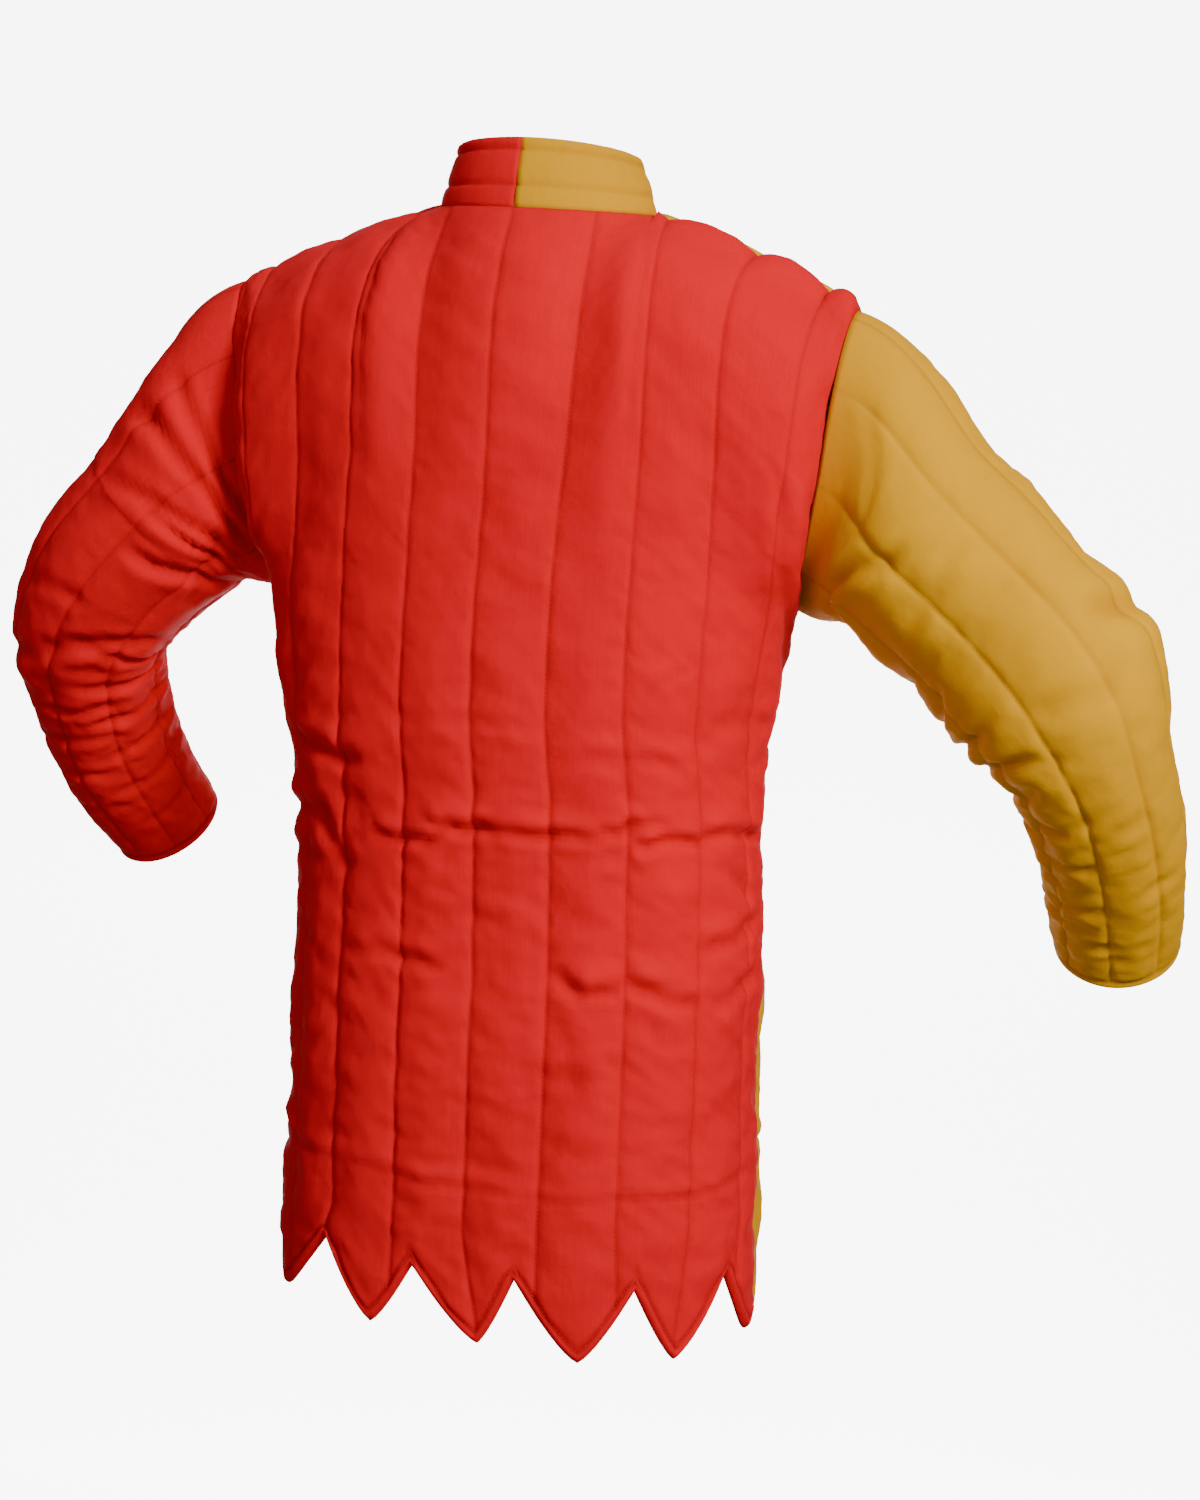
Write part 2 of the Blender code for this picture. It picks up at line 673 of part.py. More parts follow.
def build_sleeve(name, table, side, cap_down, collection, material):
    frames = sleeve_frames(table, side)
    ring = armhole_ring(side)
    points = []
    first = frames[0]
    for row in range(CAP_ROWS):
        line = []
        for column, start in enumerate(ring):
            end = section_point(first, column)
            under = (1 - math.cos(2 * math.pi * column / SLEEVE_COLUMNS)) / 2
            span = (end - start).length
            swing = math.sin(2 * math.pi * column / SLEEVE_COLUMNS)
            leave = Vector((side * mix(*CAP_OUT, under), CAP_SWING * swing, mix(*cap_down, under)))
            line.append(hermite(start, leave * span, end, first[-1] * span, row / CAP_ROWS))
        points.append(line)
    points += [[section_point(f, c) for c in range(SLEEVE_COLUMNS)] for f in frames]
    roll = points[-1]
    points.insert(-1, [p + (q - p).normalized() * CUFF_ROLL for p, q in zip(roll, points[-2])])
    normals = grid_normals(points, True)
    swells = []
    for row in range(len(points)):
        frame = frames[clamp(row - CAP_ROWS, 0, len(frames) - 1)]
        fade = smooth(row / CAP_FADE_ROWS) if row < len(points) - 2 else CUFF_SWELL
        swells.append([sleeve_swell(c, frame[3], fade) for c in range(SLEEVE_COLUMNS)])
    sample = len(points) - 4
    if normals[sample][0].dot(points[sample][0] - frames[-3][0]) < 0:
        normals = [[-n for n in row] for row in normals]
    outer = [[p + n * s for p, n, s in zip(*rows)] for rows in zip(points, normals, swells)]
    inner = [[p - n * WALL for p, n in zip(*rows)] for rows in zip(points, normals)]
    outer = pull_in(outer, True)
    inner = pull_in(inner, True)
    return add_piece(name, wall_mesh(name, outer, inner, True), collection, material)


# Buttons


def build_buttons(points, normals, collection):
    """Domed buttons on the lap's middle, each flat on the cloth under it."""
    column = 1
    line = [worn(row[column]) for row in points]
    facing = [row[column] for row in normals]
    for number in range(BUTTONS):
        z = BUTTON_TOP - number * BUTTON_PITCH
        for index in range(len(line) - 1):
            if line[index].z >= z > line[index + 1].z:
                break
        share = (line[index].z - z) / (line[index].z - line[index + 1].z)
        seat = line[index].lerp(line[index + 1], share)
        away = (line[index + 1] - line[index]).cross(Vector((1, 0, 0))).normalized()
        if away.dot(facing[index]) < 0:
            away = -away
        mesh = bmesh.new()
        bmesh.ops.create_uvsphere(mesh, u_segments=BUTTON_SEGMENTS, v_segments=BUTTON_RINGS,
                                  radius=BUTTON_RADIUS)
        lower = [v for v in mesh.verts if v.co.z < -BUTTON_RADIUS * BUTTON_SINK]
        bmesh.ops.delete(mesh, geom=lower, context="VERTS")
        bmesh.ops.holes_fill(mesh, edges=[e for e in mesh.edges if e.is_boundary])
        flatten = Matrix.Diagonal((1, 1, BUTTON_HEIGHT / BUTTON_RADIUS, 1))
        turn = away.to_track_quat("Z", "Y").to_matrix().to_4x4()
        place = Matrix.Translation(seat + away * BUTTON_SEAT) @ turn @ flatten
        bmesh.ops.transform(mesh, matrix=place, verts=mesh.verts)
        bmesh.ops.recalc_face_normals(mesh, faces=mesh.faces)
        name = f"button_{number + 1}"
        data = bpy.data.meshes.new(name)
        mesh.to_mesh(data)
        mesh.free()
        add_piece(name, data, collection, plain_material(f"{name}_metal", BRASS, 0.4, 1.0))


def plain_material(name, colour, roughness=0.85, metallic=0.0):
    material = bpy.data.materials.new(name)
    material.use_nodes = True
    shader = material.node_tree.nodes["Principled BSDF"]
    shader.inputs["Base Color"].default_value = colour
    shader.inputs["Roughness"].default_value = roughness
    shader.inputs["Metallic"].default_value = metallic
    return material


def main():
    for old in list(bpy.data.objects):
        bpy.data.objects.remove(old, do_unlink=True)
    collection = bpy.data.collections.new("gambeson")
    bpy.context.scene.collection.children.link(collection)

    build_back(collection, plain_material("back_cloth", RED))
    lap_points, lap_normals = build_front("front_left", True, collection, plain_material("left_cloth", RED))
    build_front("front_right", False, collection, plain_material("right_cloth", YELLOW))
    build_collar("collar_left", True, collection, plain_material("collar_left_cloth", RED))
    build_collar("collar_right", False, collection, plain_material("collar_right_cloth", YELLOW))
    build_sleeve("sleeve_left", SLEEVE_LEFT, 1, CAP_DOWN_LEFT, collection,
                 plain_material("sleeve_left_cloth", RED))
    build_sleeve("sleeve_right", SLEEVE_RIGHT, -1, CAP_DOWN_RIGHT, collection,
                 plain_material("sleeve_right_cloth", YELLOW))
    build_buttons(lap_points, lap_normals, collection)


main()
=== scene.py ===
# %% [markdown]
# # A quilted gambeson
# A gambeson is a padded jacket: two layers of stout cotton with wadding between them, held together by
# long lines of stitching. This one is parted in red and yellow, and its hem is cut into dags. The lesson
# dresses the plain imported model: every sewn piece becomes a dense padded wall with channels, folds and
# thread, made from the same measurements that the plain solids were made from.

# %% Load the frame
import math

import bpy
import numpy as np
from mathutils import Matrix, Vector


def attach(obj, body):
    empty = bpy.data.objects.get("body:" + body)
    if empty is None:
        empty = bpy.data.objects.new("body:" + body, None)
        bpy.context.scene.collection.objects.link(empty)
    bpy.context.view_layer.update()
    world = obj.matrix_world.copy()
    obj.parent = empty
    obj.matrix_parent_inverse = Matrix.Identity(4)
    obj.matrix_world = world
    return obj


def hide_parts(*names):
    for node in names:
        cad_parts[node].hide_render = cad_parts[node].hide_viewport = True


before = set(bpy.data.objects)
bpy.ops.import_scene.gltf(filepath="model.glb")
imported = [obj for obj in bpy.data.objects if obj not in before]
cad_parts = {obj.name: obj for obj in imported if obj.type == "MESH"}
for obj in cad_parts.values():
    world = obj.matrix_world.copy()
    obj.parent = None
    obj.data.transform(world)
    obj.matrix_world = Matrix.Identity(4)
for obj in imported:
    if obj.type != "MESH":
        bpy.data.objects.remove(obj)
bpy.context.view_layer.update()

# %% [markdown]
# ## The camera first
# The picture is taken from behind, a little to the wearer's right, level with the waist and with the
# frame turned two degrees. A camera looks along its own -Z, so its three axes are written as the columns
# of a matrix: right, up, and the opposite of the view. The lens is for a frame of 1200 by 1500.

# %% Camera
CAMERA_PLACE = Vector((-0.5782, 1.7055, -0.4234))
CAMERA_TURN, CAMERA_ROLL = math.radians(197.0), math.radians(2.0)

ahead = Vector((-math.sin(CAMERA_TURN), math.cos(CAMERA_TURN), 0))
across = Vector((ahead.y, -ahead.x, 0))
up = Vector((0, 0, 1))
right = across * math.cos(CAMERA_ROLL) + up * math.sin(CAMERA_ROLL)
top = up * math.cos(CAMERA_ROLL) - across * math.sin(CAMERA_ROLL)

camera_data = bpy.data.cameras.new("camera")
camera_data.sensor_width = camera_data.sensor_height = 36.0
camera_data.lens = 54.68
camera = bpy.data.objects.new("camera", camera_data)
bpy.context.scene.collection.objects.link(camera)
camera.matrix_world = Matrix.Translation(CAMERA_PLACE) @ Matrix((right, top, -ahead)).transposed().to_4x4()
bpy.context.scene.camera = camera
print("camera", tuple(round(v, 3) for v in camera.location), "lens", camera_data.lens)

# %% [markdown]
# ## A white sheet and soft light
# A sheet of paper that lies far behind the object and curves up gives a background with no horizon. It is
# a grid, with the far rows lifted along a quarter circle, well below the hem, because the jacket is worn.
# The sheet glows, as studio paper does when its own lamps light it, and is so far away that this glow
# hardly reaches the jacket.

# %% Sheet of paper
FLOOR_Z, SHEET_HALF, SHEET_START, CURVE_START, CURVE_RADIUS = -2.4, 2.35, 3.9, 4.4, 1.5

bpy.ops.object.select_all(action="DESELECT")
bpy.ops.mesh.primitive_grid_add(x_subdivisions=8, y_subdivisions=110, size=2, location=(0, 0, 0))
floor = bpy.context.object
floor.name = "floor"
turn = Matrix.Rotation(CAMERA_TURN, 4, "Z")
for vertex in floor.data.vertices:
    way = SHEET_START + 3.2 * (vertex.co.y + 1)
    past = max(0.0, way - CURVE_START)
    angle = min(past / CURVE_RADIUS, math.pi / 2)
    rest = past - angle * CURVE_RADIUS
    place = Vector((SHEET_HALF * vertex.co.x, min(way, CURVE_START) + CURVE_RADIUS * math.sin(angle),
                    CURVE_RADIUS * (1 - math.cos(angle)) + rest + FLOOR_Z))
    vertex.co = turn @ place
floor.data.shade_smooth()
paper = bpy.data.materials.new("white_paper")
paper.use_nodes = True
paper_shader = paper.node_tree.nodes["Principled BSDF"]
paper_shader.inputs["Base Color"].default_value = (0.80, 0.80, 0.80, 1)
paper_shader.inputs["Roughness"].default_value = 0.9
paper_shader.inputs["Emission Color"].default_value = (1, 1, 1, 1)
paper_shader.inputs["Emission Strength"].default_value = 7.0
floor.data.materials.append(paper)
print("floor", len(floor.data.polygons), "faces")

# %% [markdown]
# The key light stands to the right of the camera and above it, so the back is lit almost evenly and falls
# off to the left. A weak light fills in from behind the camera, one from above edges the shoulders, and
# the world itself gives a low glow, so that no fold is black.


# %% Lights
def area_light(name, place, target, size, power):
    data = bpy.data.lights.new(name, "AREA")
    data.size, data.energy = size, power
    lamp = bpy.data.objects.new(name, data)
    lamp.location = place
    lamp.rotation_euler = (Vector(target) - Vector(place)).to_track_quat("-Z", "Y").to_euler()
    bpy.context.scene.collection.objects.link(lamp)


area_light("key", (-2.1, 1.9, 0.7), (0, 0, -0.35), 0.8, 108)
area_light("fill", (0.4, 2.6, 0.0), (0, 0, -0.5), 1.2, 10)
area_light("crown", (-0.2, -0.1, 2.2), (0, 0, -0.3), 1.2, 12)
world = bpy.data.worlds.new("studio")
bpy.context.scene.world = world
world.use_nodes = True
world.node_tree.nodes["Background"].inputs["Color"].default_value = (1, 1, 1, 1)
world.node_tree.nodes["Background"].inputs["Strength"].default_value = 0.22

# %% [markdown]
# ## The jacket's measurements
# These are the sizes that the plain solids were drawn from, in metres. The origin is the middle of the
# neckline, +X is the wearer's left and -Y the wearer's front.

# %% Measurements
WALL, PUFF, CHANNEL, STEPS = 0.007, 0.0065, 0.0575, 4
BACK_CHANNELS, FRONT_CHANNELS = 5, 4
BACK_HALF = BACK_CHANNELS * CHANNEL
NECK_SIDE, NECK_BACK, NECK_FRONT = 0.086, 0.084, 0.090
NECK_BACK_DROP, NECK_FRONT_DROP = 0.016, 0.070
SHOULDER_X, SHOULDER_DROP, SHOULDER_ROUND = 0.252, 0.0655, 1.3
SHOULDER_TILT, TILT_TOP, TILT_END = math.radians(4.2), -0.07, -0.75
SWAYS = np.array((
    # z, to the wearer's right
    (-0.200, 0.0), (-0.330, -0.0055), (-0.400, -0.0055), (-0.460, 0.0), (-0.500, 0.0), (-0.600, 0.003),
))
ARMPIT_Z, ARMHOLE_BACK, ARMHOLE_FRONT, ARMHOLE_ROWS, ARMHOLE_LEAN = -0.300, 0.070, 0.062, 12, 0.6
BODY_POWER = 2.25
BODY_SECTIONS = np.array((
    # z, half_width, back, front
    (-0.300, 0.210, 0.127, 0.124),
    (-0.360, 0.202, 0.130, 0.121),
    (-0.420, 0.190, 0.130, 0.118),
    (-0.485, 0.182, 0.125, 0.116),
    (-0.550, 0.184, 0.126, 0.121),
    (-0.620, 0.185, 0.129, 0.128),
    (-0.720, 0.185, 0.131, 0.133),
    (-0.870, 0.189, 0.134, 0.136),
))
SIDE_EASE, SIDE_EASE_END = 0.024, -0.47
SEAM_SWING, SWING_TOP, SWING_FULL = 0.012, -0.50, -0.62
DAG_ROUND, DAG_START = 1.3, -0.768
BACK_HEM_LEFT = (
    # column, distance from the centre back, z: tip, notch, tip and so on to the side seam
    (0, -0.0153, -0.8610), (3, 0.0390, -0.8095), (5, 0.0734, -0.8555), (8, 0.1220, -0.7990),
    (13, 0.1830, -0.8475), (16, 0.2250, -0.7980), (18, 0.2540, -0.8460), (20, None, -0.8400),
)
BACK_HEM_RIGHT = (
    (0, 0.0153, -0.8610), (3, 0.0417, -0.8130), (6, 0.0912, -0.8705), (9, 0.1317, -0.8180),
    (12, 0.1654, -0.8690), (15, 0.2138, -0.8105), (18, 0.2590, -0.8615), (20, None, -0.8525),
)
FRONT_HEM = (
    # column, distance from the centre front, z: notch, tip, notch and so on, short of the seam
    (0, -0.0140, -0.8120), (3, 0.0340, -0.8660), (6, 0.0750, -0.8110), (9, 0.1180, -0.8660),
    (12, 0.1600, -0.8100), (14, 0.1900, -0.8600), (16, 0.2160, -0.8070),
)
BACK_TOP = ((0, 0.000), (4, 0.065), (7, "neck"), (8, 0.012), (12, 0.088), (16, 0.152), (20, "tip"))
FRONT_TOP = ((1, 0.000), (2, 0.0155), (6, 0.085), (8, "neck"), (10, 0.036), (14, 0.105), (18, "tip"))
BACK_NECK_COLUMN, FRONT_NECK_COLUMN, NECK_SPREAD = 7, 8, 0.10
LAP, EDGE_STRIP, LAP_LIFT = 0.014, 0.0155, 0.0078
COLLAR_HEIGHT, COLLAR_SLOPE, COLLAR_TAPER, COLLAR_PUFF = 0.046, 0.012, 0.84, 0.0035
SEAM, COLLAR_GAP = 0.0003, 0.0015
print("half of the back is", BACK_HALF, "m round")

# %% [markdown]
# ## Small helpers
# `ease` goes from 0 to 1 with soft ends, `bell` falls off from 1 on both sides, `hermite` draws a curve
# that leaves and arrives in given directions, and `waves` is a gentle unevenness: fourteen sine waves with
# directions and phases from a seed, so it is the same each time. Cloth is never even, so nearly everything
# below uses it.


# %% Helpers
def ease(value):
    value = np.clip(value, 0.0, 1.0)
    return value * value * (3 - 2 * value)


def mix(a, b, share):
    return a + (b - a) * share


def bell(distance, width):
    return np.exp(-(distance / width) ** 2)


def hermite(start, leave, end, arrive, share):
    s2, s3 = share ** 2, share ** 3
    return (start * (2 * s3 - 3 * s2 + 1) + leave * (s3 - 2 * s2 + share)
            + end * (3 * s2 - 2 * s3) + arrive * (s3 - s2))


WAVES = 14


def waves(x, y, length, seed):
    """Unevenness of about -1 to 1 over x and y, with bumps about `length` across."""
    random = np.random.default_rng(seed)
    total = np.zeros(np.broadcast(x, y).shape)
    for _ in range(WAVES):
        angle, phase = random.uniform(0, 2 * math.pi, 2)
        scale = 2 * math.pi / (length * random.uniform(0.7, 1.7))
        total += np.sin((x * math.cos(angle) + y * math.sin(angle)) * scale + phase)
    return total / math.sqrt(WAVES) * 0.8


def unit(vectors):
    return vectors / np.maximum(np.linalg.norm(vectors, axis=-1, keepdims=True), 1e-12)


def distance_along(line):
    return np.concatenate([[0.0], np.cumsum(np.linalg.norm(np.diff(line, axis=0), axis=1))])


def along_line(line, way, at):
    """Places on a line at distances along it, where `way` holds the distance of each of its points."""
    return np.stack([np.interp(at, way, line[:, k]) for k in range(3)], -1)


def way_over(points, axis=0):
    """How far every point of a grid is from its first row, or its first column, over the cloth."""
    steps = np.diff(points, axis=axis, prepend=np.take(points, [0], axis=axis))
    return np.cumsum(np.linalg.norm(steps, axis=-1), axis=axis)


def worn(points):
    """The right shoulder hangs lower than the left, and the body sways a little sideways."""
    fade = np.clip((points[..., 2] - TILT_END) / (TILT_TOP - TILT_END), 0, 1) ** 1.2
    moved = points.copy()
    moved[..., 2] += points[..., 0] * np.tan(SHOULDER_TILT * fade)
    moved[..., 0] -= np.interp(-points[..., 2], -SWAYS[:, 0], SWAYS[:, 1])
    return moved


print("a wave at the origin:", round(float(waves(0.0, 0.0, 0.1, 1)), 3))

# %% [markdown]
# ## The body's surface
# Below the armpits the body is a stack of rounded outlines, and a point on it is given by its height and
# its distance round. Above them each line of stitching starts on the neckline or the shoulder seam and
# falls in one curve to the armpit's level, and the outer ones lean over to meet the armhole.


# %% Outlines and top edges
def body_line(z, distance, front):
    """Points at a height, at distances round from the centre back or from the centre front."""
    half, back, ahead_of = (np.interp(-z, -BODY_SECTIONS[:, 0], BODY_SECTIONS[:, k]) for k in (1, 2, 3))
    angle = np.radians(np.linspace(0, 180, 361))
    side, depth = np.sin(angle).clip(0), np.cos(angle)
    x = half * side ** (2 / BODY_POWER)
    y = np.sign(depth) * np.where(depth > 0, back, ahead_of) * np.abs(depth) ** (2 / BODY_POWER)
    way = distance_along(np.stack([x, y], 1))
    at = way[-1] - np.abs(distance) if front else np.abs(distance)
    px, py = np.interp(at, way, x), np.interp(at, way, y)
    return np.stack([np.where(distance < 0, -px, px), py, np.full(np.shape(px), z)], -1), way[-1]


def side_seam(z):
    wider = SIDE_EASE * ease((z - SIDE_EASE_END) / (ARMPIT_Z - SIDE_EASE_END))
    return BACK_HALF + wider - SEAM_SWING * ease((SWING_TOP - z) / (SWING_TOP - SWING_FULL))


def column_distance(columns, z, front):
    """How far round the body each column lies at a height."""
    if not front:
        straight = np.minimum(columns, (BACK_CHANNELS - 1) * STEPS) * CHANNEL / STEPS
        beyond = np.maximum(0.0, columns / STEPS - BACK_CHANNELS + 1)
        return straight + beyond * (CHANNEL + side_seam(z) - BACK_HALF)
    width = body_line(z, np.zeros(1), False)[1] - side_seam(z) - EDGE_STRIP
    strip = np.where(columns < 1, -LAP * (1 - columns), EDGE_STRIP * (columns - 1))
    return np.where(columns <= 2, strip, EDGE_STRIP + width * (columns - 2) / (FRONT_CHANNELS * STEPS))


def neckline(angle):
    side, depth = np.sin(angle), np.cos(angle)
    y = np.where(depth > 0, NECK_BACK, NECK_FRONT) * depth
    drop = np.where(depth > 0, NECK_BACK_DROP * depth, NECK_FRONT_DROP * np.abs(depth) ** 1.4)
    return np.stack([NECK_SIDE * side, y, -drop], -1)


def top_line(columns, front):
    """Where columns start, on the neckline or the shoulder seam."""
    quarter = np.linspace(0, math.pi / 2, 61)
    neck = neckline(math.pi - quarter if front else quarter)
    share = np.linspace(0, 1, 41)[1:]
    shoulder = np.stack([NECK_SIDE + (SHOULDER_X - NECK_SIDE) * share, 0 * share,
                         -SHOULDER_DROP * share ** SHOULDER_ROUND], 1)
    line = np.vstack([neck, shoulder])
    way = distance_along(line)
    neck_length, past_neck, places = way[60], 0.0, []
    for _, place in FRONT_TOP if front else BACK_TOP:
        if place == "neck":
            past_neck = neck_length
        named = {"neck": neck_length, "tip": way[-1]}
        places.append(named[place] if place in named else place + past_neck)
    starts = [column for column, _ in (FRONT_TOP if front else BACK_TOP)]
    at = np.interp(columns, starts, places)
    return along_line(line, way, at)


print("the shoulder seam ends at", top_line(np.array([20.0]), False)[0].round(3))


# %% The upper body
def fall(row):
    share = row / ARMHOLE_ROWS
    return 0.5 * share + 0.25 * (1 - np.cos(math.pi * share))


def armhole(row, front):
    """Point of the armhole's edge, from the shoulder's tip at row 0 to the armpit at row 12."""
    angle = np.arccos(np.clip(1 - 2 * fall(row), -1, 1))
    bottom = body_line(ARMPIT_Z, np.array([side_seam(ARMPIT_Z)]), False)[0][0]
    share = (1 + np.cos(angle)) / 2
    depth = -ARMHOLE_FRONT if front else ARMHOLE_BACK
    return np.stack([mix(bottom[0], SHOULDER_X, share ** ARMHOLE_LEAN),
                     depth * np.sin(angle) + bottom[1] * (1 - share),
                     mix(bottom[2], -SHOULDER_DROP, share)], -1)


def upper_line(columns, row, front):
    """Points of one row of a panel between its top edge and the armpit's level."""
    last = 2 + FRONT_CHANNELS * STEPS if front else BACK_CHANNELS * STEPS
    neck = FRONT_NECK_COLUMN if front else BACK_NECK_COLUMN
    side = -1 if front else 1
    over_middle = front & (columns < 1)
    at = np.where(over_middle, 1 + (1 - columns) * LAP / EDGE_STRIP, columns)
    at = np.append(at, last)
    start = top_line(at, front)
    end = body_line(ARMPIT_Z, column_distance(at, ARMPIT_Z, front), front)[0]
    ridge = ease((at - neck / 2) / (neck / 2))
    spread = NECK_SPREAD * np.maximum(0.0, 1 - np.abs(at - neck) / 4)
    across_top, ridge_across, ridge_down = (0.13, 0.38, -0.26) if front else (0.18, 0.46, -0.15)
    leave = np.stack([spread, side * mix(across_top, ridge_across, ridge), mix(-0.24, ridge_down, ridge)], -1)
    plain = hermite(start, leave, end, np.array([0, 0, -0.30]), fall(row))
    points, edge = plain[:-1], plain[-1]
    points[over_middle, 0] *= -1
    pull = ease((columns / last - 0.55) / 0.45)[:, None]
    return points + (armhole(row, front) - edge) * pull


print("the armpit is at", armhole(12.0, False).round(3))


# %% [markdown]
# ## The dagged hem
# A dag is a tongue of cloth. A table gives each tip and notch, because no two dags are cut quite alike.
# Near the hem the columns drift sideways, so that a column runs into every tip and every notch.


# %% Dags
BEND_ROWS, BEND_PASSES = 14, 40


def hem_height(columns, table):
    marks, heights = np.array([row[0] for row in table]), np.array([row[2] for row in table])
    index = np.clip(np.searchsorted(marks, columns, side="left") - 1, 0, len(marks) - 2)
    share = (columns - marks[index]) / (marks[index + 1] - marks[index])
    upper, lower = heights[index], heights[index + 1]
    from_tip = np.where(upper < lower, share, 1 - share)
    return mix(np.maximum(upper, lower), np.minimum(upper, lower), 1 - from_tip ** DAG_ROUND)


def half_panel(columns, rows, front, hem):
    """Points of the wearer's left half of a panel. Each row is ("upper", 0 to 12 from the top edge to the
    armpit), ("body", height) or ("dag", share of the way from above the dags to the hem's edge). Inside the
    panel the bend at the armpit's level is softened."""
    bottom = hem_height(columns, hem)
    marks = [row[0] for row in hem]
    lines = []
    for kind, value in rows:
        if kind == "upper":
            lines.append(upper_line(columns, value, front))
        elif kind == "body":
            lines.append(body_line(value, column_distance(columns, value, front), front)[0])
        else:
            line = []
            for column, edge in zip(columns, bottom):
                z = mix(DAG_START, edge, value)
                plain, seam = column_distance(np.array([column, marks[-1]]), z, front)
                end = np.interp(column, marks, [row[1] or seam for row in hem[:-1]] + [seam])
                line.append(body_line(z, np.array([mix(plain, end, ease(value))]), front)[0][0])
            lines.append(np.array(line))
    panel = np.array(lines)
    level = sum(kind == "upper" for kind, _ in rows) - 1
    start, stop = level - BEND_ROWS, level + BEND_ROWS + 1
    window = (1 - (np.arange(-BEND_ROWS, BEND_ROWS + 1) / (BEND_ROWS + 1)) ** 2)[:, None, None]
    soft = 0.5 * window * ease((columns[-1] - columns) / STEPS / 0.6)[None, :, None]
    for _ in range(BEND_PASSES):
        average = (panel[start - 1:stop - 1] + panel[start + 1:stop + 1]) / 2
        panel[start:stop] = mix(panel[start:stop], average, soft)
    return panel


print("the middle tip hangs at", hem_height(np.array([0.0]), BACK_HEM_LEFT)[0])

# %% [markdown]
# ## Where the mesh is dense
# Thread pulls the cloth into a narrow valley, so the columns crowd together beside each line of stitching
# and spread out on the crest of the channel. Rows crowd together near the rolled edge of the hem. The
# padding is simulated on a coarser grid, whose columns and rows are even.


# %% Columns and rows
def channel_columns(channels, shares, first=0, steps=STEPS):
    """Columns at the given shares of every channel, and the line that ends the last one."""
    inside = [first + steps * (k + share) for k in range(channels) for share in shares]
    return np.array(inside + [first + steps * channels])


def panel_rows(upper, body, dag, crowding):
    """Rows from the top edge to the hem, where a crowding above 1 draws the last ones together."""
    return ([("upper", ARMHOLE_ROWS * i / upper) for i in range(upper + 1)]
            + [("body", mix(ARMPIT_Z, DAG_START, i / body)) for i in range(1, body + 1)]
            + [("dag", 1 - (1 - i / dag) ** crowding) for i in range(1, dag + 1)])


CELLS = 12
EVEN = [t / CELLS for t in range(CELLS)]
ACROSS = (0, 0.022, 0.055, 0.11, 0.18, 0.25, 0.33, 0.415, 0.5, 0.585, 0.67, 0.75, 0.82, 0.89, 0.945, 0.978)
STRIP_COLUMNS = (0, 0.05, 0.15, 0.35, 0.65, 1, 1.3, 1.6, 1.85, 1.95)
FRONT_FIRST = 2.0
UPPER, BODY, DAG = ((84, 132, 26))

BACK_COLUMNS, BACK_COARSE = channel_columns(BACK_CHANNELS, ACROSS), channel_columns(BACK_CHANNELS, EVEN)
FRONT_COLUMNS = np.append(STRIP_COLUMNS, channel_columns(FRONT_CHANNELS, ACROSS, FRONT_FIRST))
FRONT_COARSE = channel_columns(FRONT_CHANNELS, EVEN, FRONT_FIRST)
ROWS, COARSE_ROWS = panel_rows(UPPER, BODY, DAG, 1.5), panel_rows(70, 104, 14, 1.0)
print(len(BACK_COLUMNS), "columns on half of the back,", len(ROWS), "rows")
